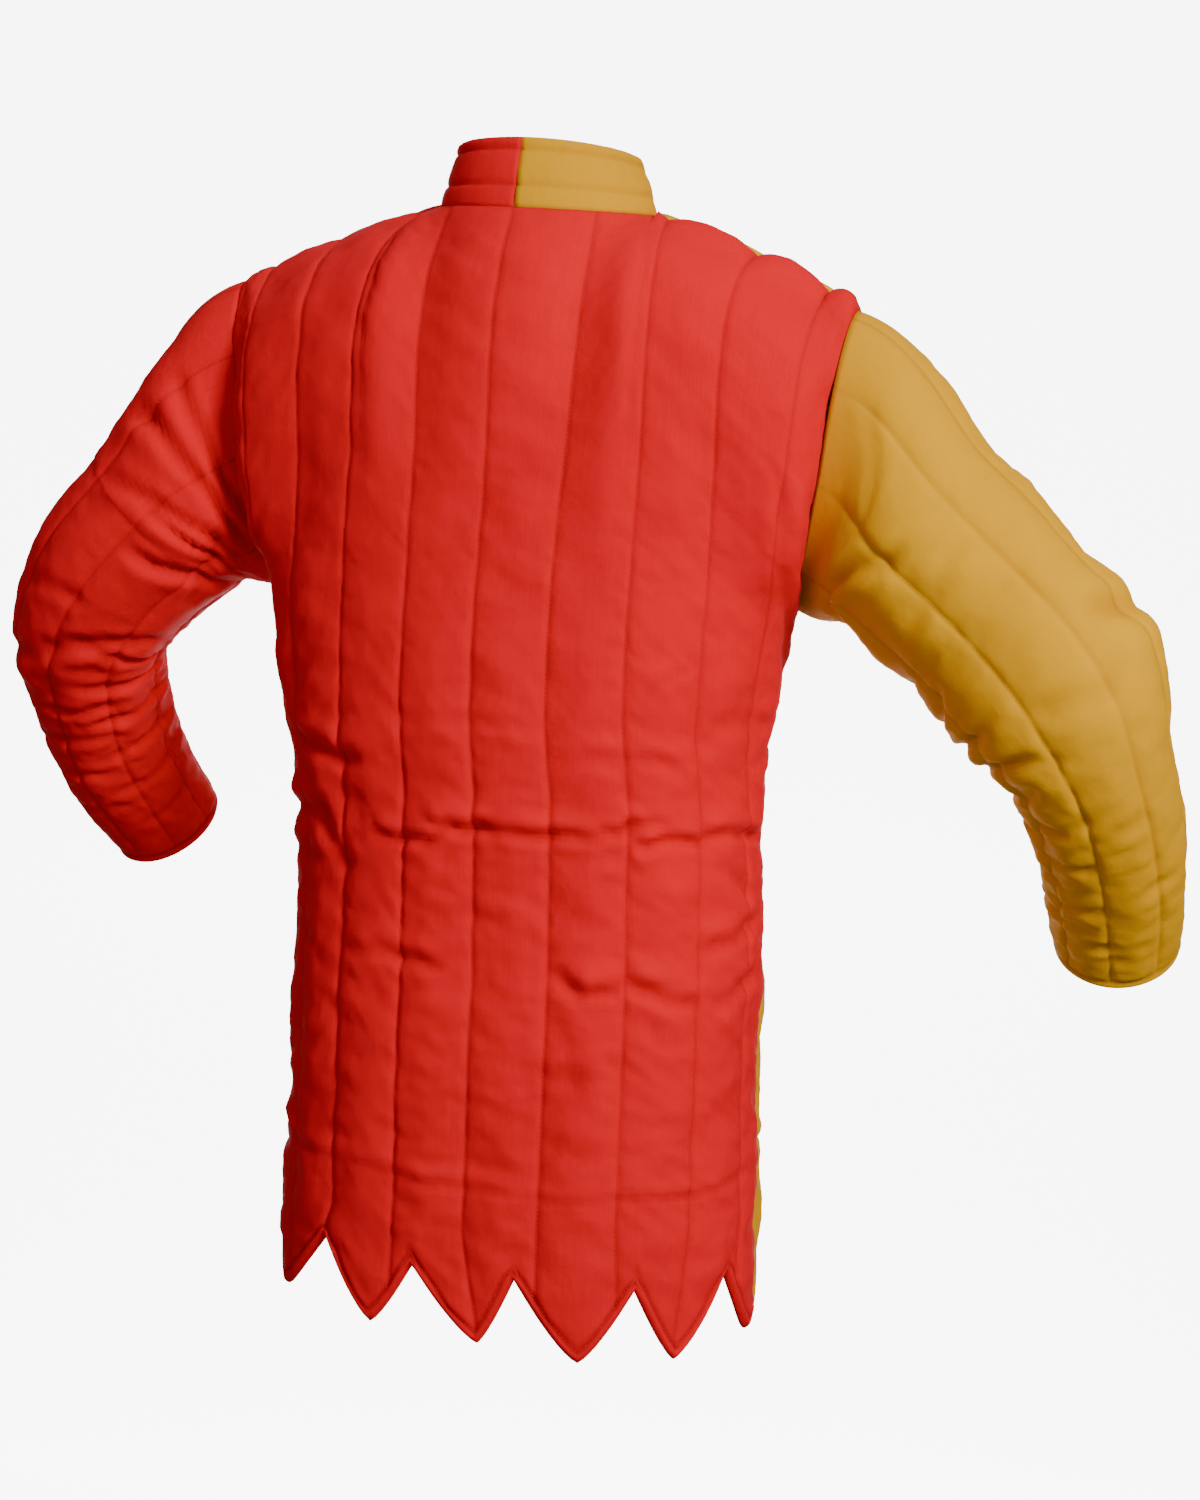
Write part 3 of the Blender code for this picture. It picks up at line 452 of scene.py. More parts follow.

# %% [markdown]
# ## Folds, listed one by one
# Each row of a table is one fold: where it starts and ends, how deep the trough is, how wide, and how far
# the cloth above it bulges over. Along a body panel a place is given in channels from the middle, plus to
# the wearer's left, and in metres of height. The waist is where a belt has pressed the padding, and lower
# down the hem has been folded in storage.

# %% Folds of the back
BACK_FOLDS = np.array((
    # channel_1, z_1, channel_2, z_2, depth, width, bulge
    (1.40, -0.497, 0.40, -0.492, 5.4, 4.2, 3.2),
    (0.62, -0.482, -0.25, -0.485, 6.2, 4.4, 3.8),
    (-0.20, -0.484, -1.66, -0.489, 5.6, 4.2, 3.4),
    (-1.66, -0.482, -2.45, -0.473, 5.2, 4.0, 2.8),
    (-2.15, -0.490, -2.98, -0.485, 5.0, 4.0, 2.6),
    (-3.05, -0.482, -4.50, -0.477, 5.6, 4.4, 3.0),
    (3.40, -0.424, 1.50, -0.441, 5.0, 6.0, 2.8),
    (2.80, -0.446, 1.88, -0.529, 4.0, 7.0, 1.6),
    (4.90, -0.470, 2.40, -0.484, 4.6, 6.0, 2.4),
    (4.40, -0.505, 2.10, -0.520, 2.8, 6.0, 1.0),
    (1.87, -0.580, 0.43, -0.587, 4.2, 5.0, 2.2),
    (-1.00, -0.587, -1.52, -0.604, 4.4, 5.0, 2.2),
    (-1.46, -0.605, -1.95, -0.592, 4.4, 4.6, 2.2),
    (-2.00, -0.592, -2.97, -0.610, 5.0, 5.0, 2.6),
    (-3.03, -0.566, -4.30, -0.546, 4.6, 6.0, 2.2),
    (-3.20, -0.607, -4.30, -0.588, 4.0, 6.0, 1.8),
    (0.60, -0.545, -0.70, -0.556, 1.6, 5.0, 0.5),
    (3.40, -0.560, 2.20, -0.596, 1.8, 6.0, 0.6),
    (-3.95, -0.215, -4.30, -0.297, 3.8, 7.0, 1.6),
    (-4.30, -0.300, -4.80, -0.352, 3.4, 7.0, 1.4),
    (4.20, -0.225, 4.40, -0.300, 2.2, 6.0, 0.6),
    (3.75, -0.255, 4.85, -0.338, 2.0, 6.0, 0.6),
    (0.40, -0.405, -0.80, -0.412, 1.4, 5.0, 0.3),
    (-1.30, -0.430, -2.70, -0.425, 1.5, 5.0, 0.4),
    (-3.20, -0.400, -4.60, -0.386, 1.8, 6.0, 0.6),
    (3.60, -0.380, 4.80, -0.372, 1.6, 6.0, 0.5),
    (2.30, -0.655, 3.50, -0.640, 1.2, 6.0, 0.3),
    (-0.60, -0.655, -1.60, -0.668, 1.2, 6.0, 0.3),
    (-2.85, -0.350, -2.25, -0.384, 1.8, 3.5, 0.4),
    (-3.20, -0.500, -4.10, -0.528, 3.0, 6.0, 1.4),
    (-1.10, -0.612, -1.50, -0.680, 2.6, 8.0, 0.8),
    (-2.10, -0.620, -2.80, -0.640, 2.2, 7.0, 1.0),
    (3.00, -0.640, 3.90, -0.690, 2.0, 8.0, 0.8),
))
PRESSED = np.array((
    # channel, z: the pressed crease that goes all round above the hem
    (-5.0, -0.737), (-3.94, -0.741), (-3.0, -0.749), (-1.4, -0.753), (0.0, -0.749), (0.94, -0.745),
    (1.81, -0.738), (3.0, -0.733), (3.5, -0.722), (5.0, -0.716),
))
FRONT_FOLDS = np.array((
    (0.20, -0.486, 1.60, -0.480, 4.2, 5.0, 2.2),
    (1.50, -0.490, 2.80, -0.486, 4.0, 5.0, 1.8),
    (2.70, -0.476, 4.10, -0.482, 4.0, 5.0, 2.0),
    (3.60, -0.440, 2.60, -0.452, 2.4, 5.0, 1.0),
    (1.00, -0.585, 2.30, -0.600, 2.2, 6.0, 0.9),
    (2.60, -0.560, 3.80, -0.640, 2.0, 6.5, 0.7),
    (0.30, -0.420, 1.30, -0.410, 1.6, 5.0, 0.4),
    (3.40, -0.230, 3.70, -0.296, 2.4, 6.0, 0.8),
    (2.90, -0.250, 4.00, -0.330, 2.4, 6.5, 0.8),
    (2.20, -0.330, 3.60, -0.385, 1.6, 6.0, 0.5),
    (0.60, -0.655, 1.70, -0.645, 1.3, 6.0, 0.3),
    (2.20, -0.680, 3.40, -0.705, 1.3, 6.0, 0.3),
))
print(len(BACK_FOLDS), "folds on the back and", len(FRONT_FOLDS), "on each front")


# %% [markdown]
# A fold is measured from the line between its two ends. `fold` gives the cloth's rise or fall at every
# point: a trough along the line that fades towards its ends, a soft ridge on both sides, and the bulge of
# the padding that hangs over it from above.


# %% One fold
def fold(x, y, row, seed, wrap=None):
    """Rise in metres at points x, y (in metres) for one fold row given in the same units."""
    x1, y1, x2, y2, depth, width, bulge = row
    dx = x - x1
    if wrap:
        dx = (dx + wrap / 2) % wrap - wrap / 2
    way = np.array([x2 - x1, y2 - y1])
    if wrap:
        way[0] = (way[0] + wrap / 2) % wrap - wrap / 2
    span = np.hypot(*way)
    way = way / span
    along = (dx * way[0] + (y - y1) * way[1]) / span
    off = (y - y1) * way[0] - dx * way[1]
    off = off * (1 if way[0] > 0 else -1)
    off = off + 0.0022 * np.sin(along * 5.0 + seed) + 0.0009 * np.sin(along * 13.0 + 2.1 * seed)
    width, depth, bulge = width / 1000, depth / 1000, bulge / 1000
    fade = ease((along + 0.12) / 0.30) * ease((1.12 - along) / 0.30)
    fade = fade * (0.8 + 0.2 * np.sin(along * 7.0 + 1.3 * seed))
    near = np.abs(off) < 9 * width
    ridges = 0.30 * depth * bell(np.abs(off) - 2.1 * width, 1.1 * width)
    over = bulge * bell(off - 2.6 * width, 2.0 * width)
    return np.where(near, fade * (-depth * bell(off, width) + ridges + over), 0.0)


def folded(x, y, table, scale, seed, wrap=None):
    """Rise of all the folds of a table, whose places across are in units of `scale` metres."""
    total = np.zeros(x.shape)
    for index, row in enumerate(table):
        total += fold(x, y, row * (scale, 1, scale, 1, 1, 1, 1), seed + index, wrap)
    return total


print("at its middle a fold of 4 mm is", round(float(fold(0.0, 0.0, (-0.05, 0, 0.05, 0, 4, 5, 2), 1)) * 1000, 1))

# %% [markdown]
# ## From points to a padded wall
# The wall has the cloth's outer face, a plain inner face, and rims. Towards a free edge both faces close
# in on the wall's middle along a quarter circle, which gives the soft rolled edge of quilted cloth. The
# unwrapped layout (its UV map) is in metres of cloth, so that the weave has its true scale everywhere.
# Pieces are drawn on the wearer's left, mirrored for the right, and then set as worn.


# %% Walls
EDGE_RADIUS = 0.0045


def grid_normals(points, closed=False):
    if closed:
        wide = np.concatenate([points[:, -1:], points, points[:, :1]], axis=1)
        across_way = (wide[:, 2:] - wide[:, :-2])
    else:
        across_way = np.gradient(points, axis=1)
    return unit(np.cross(np.gradient(points, axis=0), across_way))


def outward(points, closed=False):
    """Normals of a grid of points that bulges, pointing away from the middles of its rows."""
    normals = grid_normals(points, closed)
    from_middle = points - points.mean(1, keepdims=True)
    return normals if (from_middle * normals).sum() > 0 else -normals


def edge_round(distance):
    """1 away from a free edge, and 0 on it, along a quarter circle."""
    return np.sqrt(np.clip(1 - (1 - np.clip(distance / EDGE_RADIUS, 0, 1)) ** 2, 0.0025, 1))


def wall_object(name, outer, inner, layout, painted_shading, material, closed=False):
    """A closed wall from two grids of the same size, with its layout in metres and a painted shading value for
    each point.
    """
    rows, columns = outer.shape[:2]
    count = rows * columns
    spans = columns if closed else columns - 1
    r, c = np.meshgrid(np.arange(rows - 1), np.arange(spans), indexing="ij")
    d = (c + 1) % columns
    a, b = (r * columns + c).ravel(), ((r + 1) * columns + c).ravel()
    e, f = ((r + 1) * columns + d).ravel(), (r * columns + d).ravel()
    quads = [np.stack([a, b, e, f], 1), np.stack([f, e, b, a], 1) + count]
    ring = np.arange(spans)
    after = (ring + 1) % columns
    last = (rows - 1) * columns
    quads.append(np.stack([ring, after, after + count, ring + count], 1))
    quads.append(np.stack([after + last, ring + last, ring + last + count, after + last + count], 1))
    if not closed:
        down = np.arange(rows - 1) * columns
        quads.append(np.stack([down + columns, down, down + count, down + columns + count], 1))
        end = down + columns - 1
        quads.append(np.stack([end, end + columns, end + columns + count, end + count], 1))
    faces = np.vstack(quads)
    points = np.vstack([outer.reshape(-1, 3), inner.reshape(-1, 3)])
    volume = np.cross(points[faces[:, 0]], points[faces[:, 1]]) * points[faces[:, 2]]
    volume = volume.sum() + (np.cross(points[faces[:, 0]], points[faces[:, 2]]) * points[faces[:, 3]]).sum()
    if volume < 0:
        faces = faces[:, ::-1]
    mesh = bpy.data.meshes.new(name)
    mesh.from_pydata(points.tolist(), [], faces.tolist())
    flat = np.vstack([layout.reshape(-1, 2), layout.reshape(-1, 2)])
    corners = flat[faces]
    if closed:
        turn_length = layout[0, -1, 0] + (layout[0, 1, 0] - layout[0, 0, 0])
        jump = corners[..., 0].max(1) - corners[..., 0].min(1) > turn_length / 2
        fix = jump[:, None] & (corners[..., 0] < turn_length / 2)
        corners[..., 0] = np.where(fix, corners[..., 0] + turn_length, corners[..., 0])
    mesh.uv_layers.new(name="UVMap").data.foreach_set("uv", corners.reshape(-1))
    # Each point of the outer face carries its painted shading; the inner face gets the plain 0.5.
    mark = mesh.attributes.new("painted_shading", "FLOAT", "POINT")
    mark.data.foreach_set("value", np.concatenate([painted_shading.ravel(), np.full(count, 0.5)]))
    mesh.shade_smooth()
    mesh.materials.append(material)
    piece = bpy.data.objects.new(name, mesh)
    bpy.context.scene.collection.objects.link(piece)
    return piece


def finish_wall(points, moves, rise, normals, free_edge):
    """Outer and inner faces round the wall's middle, which close in on free edges. In a deep fold the
    whole wall moves inward, so that it keeps its thickness."""
    closing = edge_round(free_edge)[..., None]
    middle = points - normals * WALL / 2
    along = (moves * normals).sum(-1)
    total = rise + along
    sink = np.minimum(total - (0.001 - WALL / 2), 0)
    sideways = moves - along[..., None] * normals
    outer = middle + (normals * (WALL / 2 + total)[..., None] + sideways) * closing
    inner = middle + normals * (sink[..., None] - WALL / 2) * closing
    return outer, inner


def layout_of(points):
    """Each point's place on the flat cloth, in metres: across from the first column and down the panel."""
    widths = np.linalg.norm(np.diff(points, axis=1, prepend=points[:, :1]), axis=-1)
    across_way = np.cumsum(np.median(widths, axis=0))
    return np.stack([np.broadcast_to(across_way, points.shape[:2]), way_over(points)], -1)


def worn_wall(name, side, points, faces, painted_shading, material):
    """The wall of a panel or collar half on the wearer's left (side 1) or right, and its outer points."""
    outer, inner = (worn(face * (side, 1, 1)) for face in faces)
    return wall_object(name, outer, inner, layout_of(points), painted_shading, material), outer


print("the rolled edge is", 2000 * EDGE_RADIUS, "mm through")

# %% [markdown]
# ## Quilting
# The channel swells like a long pillow, flat on top and steep beside the thread, and the thread itself
# sinks a little deeper. Sewing draws the cloth up, so small puckers run out from every line of stitches.
# The swell itself comes from a cloth simulation (the next step); a quick draft uses a drawn pillow.


# %% Quilting
def pillow(share):
    return 1 - np.abs(2 * share - 1) ** 2.7


def quilting(columns, length, seed, width=CHANNEL, first=0.0, steps=STEPS):
    """Unevenness of the swell, puckers with the thread's valley, share of the channel, distance to the line."""
    channel = (columns - first) / steps
    share = channel % 1.0
    from_line = np.minimum(share, 1 - share) * width
    x, line = channel * width, np.round(channel)
    uneven = 1 + 0.16 * waves(x, length, 0.11, seed) + 0.08 * waves(x, length, 0.04, seed + 1)
    pull = waves(line * 3.7, length, 0.013, seed + 2) + 0.6 * waves(line * 5.1 + 9, length, 0.007, seed + 3)
    side = np.where(share < 0.5, 0.35, -0.35) * waves(line * 2.3, length, 0.016, seed + 4)
    pucker = 0.0005 * (pull + side) * np.exp(-from_line / 0.010) * ease(from_line / 0.0035)
    soft = 0.0004 * waves(x, length * 1.6, 0.022, seed + 5) * ease(from_line / 0.01)
    return uneven, pucker + soft - 0.0008 * bell(from_line, 0.0014), share, from_line


def darken(from_line, rise, folds):
    """Painted shading: 0.5 for plain cloth, less (painted shade) in a stitched valley or the bottom of a fold,
    more on a crest.
    """
    return np.clip(0.5 - 0.13 * np.exp(-from_line / 0.0010) + 22 * folds + 6 * (rise - 0.004), 0, 1)


print("a channel swells", PUFF * 1000, "mm")

# %% [markdown]
# ## Padding by simulation
# A coarser copy of a panel is made of cloth that is a little too large for its frame, held fast along the
# lines of stitching, and blown up from inside. The cloth bulges and gathers as stuffed canvas does. How
# far each of its points moved is then carried over to the dense panel, channel by channel, so that the
# lines of stitching stay sharp. The copy is deleted, so no simulation is left in the scene.


# %% Blow the channels up
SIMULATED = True
PRESSURE, FRAMES, GROWTH, BENDING = 20, 14, 0.02, 5.0


def swollen(points, pinned, normals, closed):
    """Where a grid of cloth ends up after some frames of pressure along the normals."""
    rows, columns = points.shape[:2]
    r, c = np.meshgrid(np.arange(rows - 1), np.arange(columns if closed else columns - 1), indexing="ij")
    d = (c + 1) % columns
    faces = np.stack([r * columns + c, (r + 1) * columns + c, (r + 1) * columns + d, r * columns + d], -1)
    if (grid_normals(points, closed) * normals).sum() < 0:
        faces = faces[..., ::-1]
    mesh = bpy.data.meshes.new("padding")
    mesh.from_pydata(points.reshape(-1, 3).tolist(), [], faces.reshape(-1, 4).tolist())
    piece = bpy.data.objects.new("padding", mesh)
    bpy.context.scene.collection.objects.link(piece)
    piece.vertex_groups.new(name="pins").add(np.flatnonzero(pinned).tolist(), 1.0, "REPLACE")
    cloth = piece.modifiers.new("cloth", "CLOTH")
    settings = cloth.settings
    settings.quality, settings.mass, settings.air_damping = 5, 0.2, 3
    settings.tension_stiffness = settings.compression_stiffness = 15
    settings.shear_stiffness, settings.bending_stiffness = 8, BENDING
    settings.tension_damping = settings.compression_damping = settings.shear_damping = 8
    settings.vertex_group_mass, settings.pin_stiffness = "pins", 1
    settings.shrink_min = -GROWTH
    settings.use_pressure, settings.uniform_pressure_force = True, PRESSURE
    settings.effector_weights.gravity = 0
    cloth.collision_settings.use_collision = False
    cloth.point_cache.frame_start, cloth.point_cache.frame_end = 1, FRAMES
    scene = bpy.context.scene
    first, last = scene.frame_start, scene.frame_end
    scene.frame_start, scene.frame_end = 1, FRAMES
    for number in range(1, FRAMES + 1):
        scene.frame_set(number)
    after = piece.evaluated_get(bpy.context.evaluated_depsgraph_get()).to_mesh()
    places = np.empty(points.size)
    after.vertices.foreach_get("co", places)
    bpy.data.objects.remove(piece)
    bpy.data.meshes.remove(mesh)
    scene.frame_set(1)
    scene.frame_start, scene.frame_end = first, last
    return places.reshape(points.shape)


def padding_moves(points, normals, columns, first, steps, keep, seed, closed=False):
    """How far the padding moves each point of a coarse panel; `keep` is the share of short wrinkles kept."""
    place = (np.abs(columns) - first) / steps
    pinned = np.zeros(points.shape[:2], bool)
    pinned[:, np.abs(place - np.round(place)) < 1e-6] = True
    pinned[:2] = pinned[-2:] = True
    if not closed:
        pinned[:, 0] = pinned[:, -1] = True
    start = 0.002 + 0.0006 * waves(place * CHANNEL, way_over(points), 0.02, seed)
    start = points + normals * (start * ~pinned)[..., None]
    move = swollen(start, pinned, normals, closed) - points
    calm = move.copy()
    for _ in range(12):
        calm[1:-1] = (calm[:-2] + 2 * calm[1:-1] + calm[2:]) / 4
    rise = (move * normals).sum(-1)
    print("padding rises", (rise.mean() * 1000).round(1), "mm, at most", (rise.max() * 1000).round(1))
    return mix(calm, move, keep[..., None])


def carried_over(moves, known_rows, known_columns, rows, columns, closed=False):
    """Moves of a coarse grid at the rows and columns of a dense one, smooth inside each channel."""
    if closed:
        moves = np.concatenate([moves, moves[:, :1]], axis=1)
    at = np.interp(rows, known_rows, np.arange(len(known_rows)))
    low = np.clip(at.astype(int), 0, len(known_rows) - 2)
    near = [moves[np.clip(low + k, 0, len(known_rows) - 1)] for k in (-1, 0, 1, 2)]
    moves = bent(near, (at - low)[:, None, None])
    at = np.interp(columns, known_columns, np.arange(len(known_columns)))
    low = np.clip(at.astype(int), 0, len(known_columns) - 2)
    left = low // CELLS * CELLS
    near = [moves[:, np.clip(low + k, left, left + CELLS)] for k in (-1, 0, 1, 2)]
    return bent(near, (at - low)[None, :, None])


def bent(near, share):
    """A smooth curve through the middle two of four values."""
    p0, p1, p2, p3 = near
    return 0.5 * (2 * p1 + (p2 - p0) * share + (2 * p0 - 5 * p1 + 4 * p2 - p3) * share ** 2
                  + (3 * p1 - p0 - 3 * p2 + p3) * share ** 3)


print("the padding is", "simulated" if SIMULATED else "drawn")

# %% [markdown]
# ## Thread
# One stitch is modelled once: a short four-sided prism, bowed in the middle and sunk at both ends. It is
# then copied along every line, 3.4 mm apart, and all the copies on a panel are joined into one mesh.

# %% One stitch
STITCH_PITCH, STITCH_LENGTH, STITCH_WIDTH, STITCH_PROUD = 0.0034, 0.0024, 0.0006, 0.0002

bpy.ops.object.select_all(action="DESELECT")
bpy.ops.mesh.primitive_cylinder_add(vertices=4, radius=0.5, depth=1.0, rotation=(0, math.pi / 2, 0))
stitch = bpy.context.object
bpy.ops.object.transform_apply(rotation=True)
bpy.ops.object.mode_set(mode="EDIT")
bpy.ops.mesh.select_all(action="SELECT")
bpy.ops.mesh.subdivide(number_cuts=1)
bpy.ops.object.mode_set(mode="OBJECT")
stitch_points = np.array([v.co for v in stitch.data.vertices])
stitch_faces = [tuple(p.vertices) for p in stitch.data.polygons]
stitch_points[:, 2] -= 1.1 * (2 * stitch_points[:, 0]) ** 2
bpy.data.objects.remove(stitch)
print("a stitch has", len(stitch_faces), "faces")


# %% Stitches along lines
def resample(path, normals, pitch):
    """Evenly spaced places, directions and normals along a path of points."""
    way = distance_along(path)
    at = np.arange(pitch / 2, way[-1] - pitch / 2, pitch)
    direction = along_line(path, way, at + pitch / 3) - along_line(path, way, at - pitch / 3)
    return along_line(path, way, at), unit(direction), unit(along_line(normals, way, at))


def sew(name, paths, material, pitch=STITCH_PITCH, size=STITCH_LENGTH, width=STITCH_WIDTH, turned=False):
    """Joined stitches along paths, each a pair of points and normals, or across the paths where turned."""
    points, faces = [], []
    for path, normals in paths:
        place, way, normal = resample(path, normals, pitch)
        side = unit(np.cross(normal, way))
        if turned:
            way, side = side, -way
        local = stitch_points * (size, width, width)
        laid = (place[:, None] + normal[:, None] * STITCH_PROUD + way[:, None] * local[None, :, :1]
                + side[:, None] * local[None, :, 1:2] + normal[:, None] * local[None, :, 2:])
        for copy in laid:
            start = len(points) * len(stitch_points)
            faces += [tuple(start + v for v in face) for face in stitch_faces]
            points.append(copy)
    mesh = bpy.data.meshes.new(name)
    mesh.from_pydata(np.vstack(points).tolist(), [], faces)
    mesh.shade_smooth()
    mesh.materials.append(material)
    piece = bpy.data.objects.new(name, mesh)
    bpy.context.scene.collection.objects.link(piece)
    return piece


print("stitches are", STITCH_PITCH * 1000, "mm apart")

# %% [markdown]
# ## Materials
# The cloth is a plain-woven cotton canvas. Its threads go over and under each other, so the weave is two
# sets of soft bars, across and along, chosen between by a checker. A shared group makes the weave and the
# slubs from the layout in metres. Thickness of dye and handling vary the colour, and the painted shading
# kept in the mesh darkens it in stitched valleys, ditches and the bottoms of folds (painted shade) and
# pales it on crests. The sheen is the fuzz of cotton seen at a slant.


# %% Node helpers
def wire(tree, node, sockets):
    """On each socket of a node, by name or number, sets a constant or links another node's output."""
    for key, value in sockets.items():
        if isinstance(value, bpy.types.NodeSocket):
            tree.links.new(value, node.inputs[key])
        else:
            node.inputs[key].default_value = value


def add_node(tree, kind, place, sockets=None, **settings):
    node = tree.nodes.new(kind)
    node.location = place
    for key, value in settings.items():
        setattr(node, key, value)
    wire(tree, node, sockets or {})
    return node


def maths(tree, operation, place, *values):
    return add_node(tree, "ShaderNodeMath", place, dict(enumerate(values)), operation=operation).outputs[0]


def noise(tree, place, vector, scale, detail):
    sockets = {"Vector": vector, "Scale": scale, "Detail": detail}
    return add_node(tree, "ShaderNodeTexNoise", place, sockets).outputs["Fac"]


def colour_ramp(tree, place, level, stops):
    """The colour at a level between stops, each a position and a colour."""
    node = add_node(tree, "ShaderNodeValToRGB", place, {"Fac": level})
    for element, (position, colour) in zip(node.color_ramp.elements, (stops[0], stops[-1])):
        element.position, element.color = position, colour
    for position, colour in stops[1:-1]:
        node.color_ramp.elements.new(position).color = colour
    return node.outputs["Color"]


def new_material(name, constants):
    """A material with constants on its shader's own sockets, its node tree and the shader."""
    material = bpy.data.materials.new(name)
    material.use_nodes = True
    shader = material.node_tree.nodes["Principled BSDF"]
    wire(material.node_tree, shader, constants)
    return material, material.node_tree, shader


def canvas_group():
    """Height of a plain weave and of its slubs, from a layout in metres."""
    group = bpy.data.node_groups.new("plain_weave", "ShaderNodeTree")
    face = group.interface
    face.new_socket(name="Layout", in_out="INPUT", socket_type="NodeSocketVector")
    pitch = face.new_socket(name="Threads per metre", in_out="INPUT", socket_type="NodeSocketFloat")
    pitch.default_value = 1250
    face.new_socket(name="Weave", in_out="OUTPUT", socket_type="NodeSocketFloat")
    face.new_socket(name="Slubs", in_out="OUTPUT", socket_type="NodeSocketFloat")
    into = add_node(group, "NodeGroupInput", (-900, 0)).outputs
    scaled = add_node(group, "ShaderNodeVectorMath", (-700, 0),
                      {0: into["Layout"], "Scale": into["Threads per metre"]}, operation="SCALE").outputs[0]
    parts = add_node(group, "ShaderNodeSeparateXYZ", (-500, 0), {0: scaled})
    bars = []
    for index in range(2):
        level = 160 - 220 * index
        angle = maths(group, "MULTIPLY", (-320, level), parts.outputs[index], math.pi)
        bars.append(maths(group, "ABSOLUTE", (0, level), maths(group, "SINE", (-160, level), angle)))
    checker = add_node(group, "ShaderNodeTexChecker", (-160, -320), {"Scale": 1.0, "Vector": scaled})
    over = maths(group, "MULTIPLY", (200, 120), bars[0], checker.outputs["Fac"])
    under = maths(group, "SUBTRACT", (200, -320), 1.0, checker.outputs["Fac"])
    under = maths(group, "MULTIPLY", (360, -160), bars[1], under)
    stretch = add_node(group, "ShaderNodeVectorMath", (-320, -560), {0: scaled, 1: (0.5, 0.02, 1.0)},
                       operation="MULTIPLY")
    add_node(group, "NodeGroupOutput", (700, 0),
             {"Weave": maths(group, "ADD", (520, 80), over, under),
              "Slubs": noise(group, (-120, -560), stretch.outputs[0], 1.0, 3.0)})
    return group


CANVAS = canvas_group()
print("group", CANVAS.name, "with", len(CANVAS.nodes), "nodes")


# %% Cotton canvas
def canvas_material(name, deep, plain, pale_colour, sheen_tint):
    """Dyed canvas with painted shading: the deep colour is painted shade in the valleys, plain between, and a
    little paler on the crests.
    """
    material, tree, shader = new_material(name, {
        "Roughness": 0.8, "Specular IOR Level": 0.10, "Sheen Weight": 0.10, "Sheen Roughness": 0.45,
        "Sheen Tint": sheen_tint})
    layout = add_node(tree, "ShaderNodeUVMap", (-1300, 0), uv_map="UVMap")
    weave = add_node(tree, "ShaderNodeGroup", (-1050, 0), node_tree=CANVAS)
    wire(tree, weave, {"Layout": layout.outputs[0]})
    place = add_node(tree, "ShaderNodeTexCoord", (-1300, 420)).outputs["Object"]
    # The attribute read here is the mesh's painted shading: low in valleys, ditches and folds, high on crests.
    painted_shading = add_node(tree, "ShaderNodeAttribute", (-1300, 700), attribute_name="painted_shading")
    cloud = maths(tree, "SUBTRACT", (-850, 420), noise(tree, (-1050, 420), place, 7.0, 5.0), 0.5)
    cloud = maths(tree, "MULTIPLY", (-700, 360), cloud, 0.22)
    slub = maths(tree, "SUBTRACT", (-850, 180), weave.outputs["Slubs"], 0.5)
    slub = maths(tree, "MULTIPLY", (-700, 180), slub, 0.12)
    level = maths(tree, "ADD", (-850, 640), painted_shading.outputs["Fac"], cloud)
    level = maths(tree, "ADD", (-700, 700), level, slub)
    # The deep end of the ramp is painted shade; the pale end is reached on crests and by the random tone.
    colour = colour_ramp(tree, (-600, 520), level, ((0.12, deep), (0.5, plain), (0.92, pale_colour)))
    relief = maths(tree, "MULTIPLY", (-800, -200), weave.outputs["Weave"], 0.00016)
    rough = maths(tree, "MULTIPLY", (-800, -420), noise(tree, (-1050, -420), place, 130.0, 4.0), 0.0008)
    bump = add_node(tree, "ShaderNodeBump", (-350, -300), {
        "Strength": 0.9, "Distance": 1.0, "Height": maths(tree, "ADD", (-600, -300), relief, rough)})
    wire(tree, shader, {"Base Color": colour, "Normal": bump.outputs["Normal"]})
    return material


# Each material's first colour is the painted shade of valleys, ditches and folds, the second plain cloth, the
# third the paler end.
RED = canvas_material("red_canvas", (0.34, 0.001, 0.004, 1), (0.76, 0.003, 0.011, 1), (0.84, 0.007, 0.017, 1),
                      (1.0, 0.10, 0.08, 1))
YELLOW = canvas_material("yellow_canvas", (0.50, 0.20, 0.001, 1), (0.73, 0.34, 0.001, 1),
                         (0.78, 0.38, 0.002, 1), (1.0, 0.55, 0.02, 1))
print("materials", RED.name, YELLOW.name)


# %% [markdown]
# The thread is the same colour as the cloth, a little glossier, with a twist that shows only close by.


# %% Thread
def thread_material(name, colour):
    material, tree, shader = new_material(name, {"Roughness": 0.55})
    place = add_node(tree, "ShaderNodeTexCoord", (-900, 0))
    twist = add_node(tree, "ShaderNodeTexWave", (-700, 0), {"Vector": place.outputs["Object"], "Scale": 900.0},
                     bands_direction="DIAGONAL").outputs["Fac"]
    light = tuple(min(1.0, 1.35 * v) for v in colour[:3]) + (1,)
    blend = add_node(tree, "ShaderNodeMix", (-400, 100), {"A": colour, "B": light, "Factor": twist},
                     data_type="RGBA")
    bump = add_node(tree, "ShaderNodeBump", (-400, -200), {"Distance": 0.0001, "Height": twist})
    wire(tree, shader, {"Base Color": blend.outputs["Result"], "Normal": bump.outputs["Normal"]})
    return material


RED_THREAD = thread_material("red_thread", (0.50, 0.006, 0.006, 1))
YELLOW_THREAD = thread_material("yellow_thread", (0.72, 0.30, 0.008, 1))
print("threads", RED_THREAD.name, YELLOW_THREAD.name)

# %% [markdown]
# ## The back
# The two halves are drawn and joined in the middle. Then the quilting, the folds and the pressed crease
# are added along the outward direction, and the hem gets its rolled border.


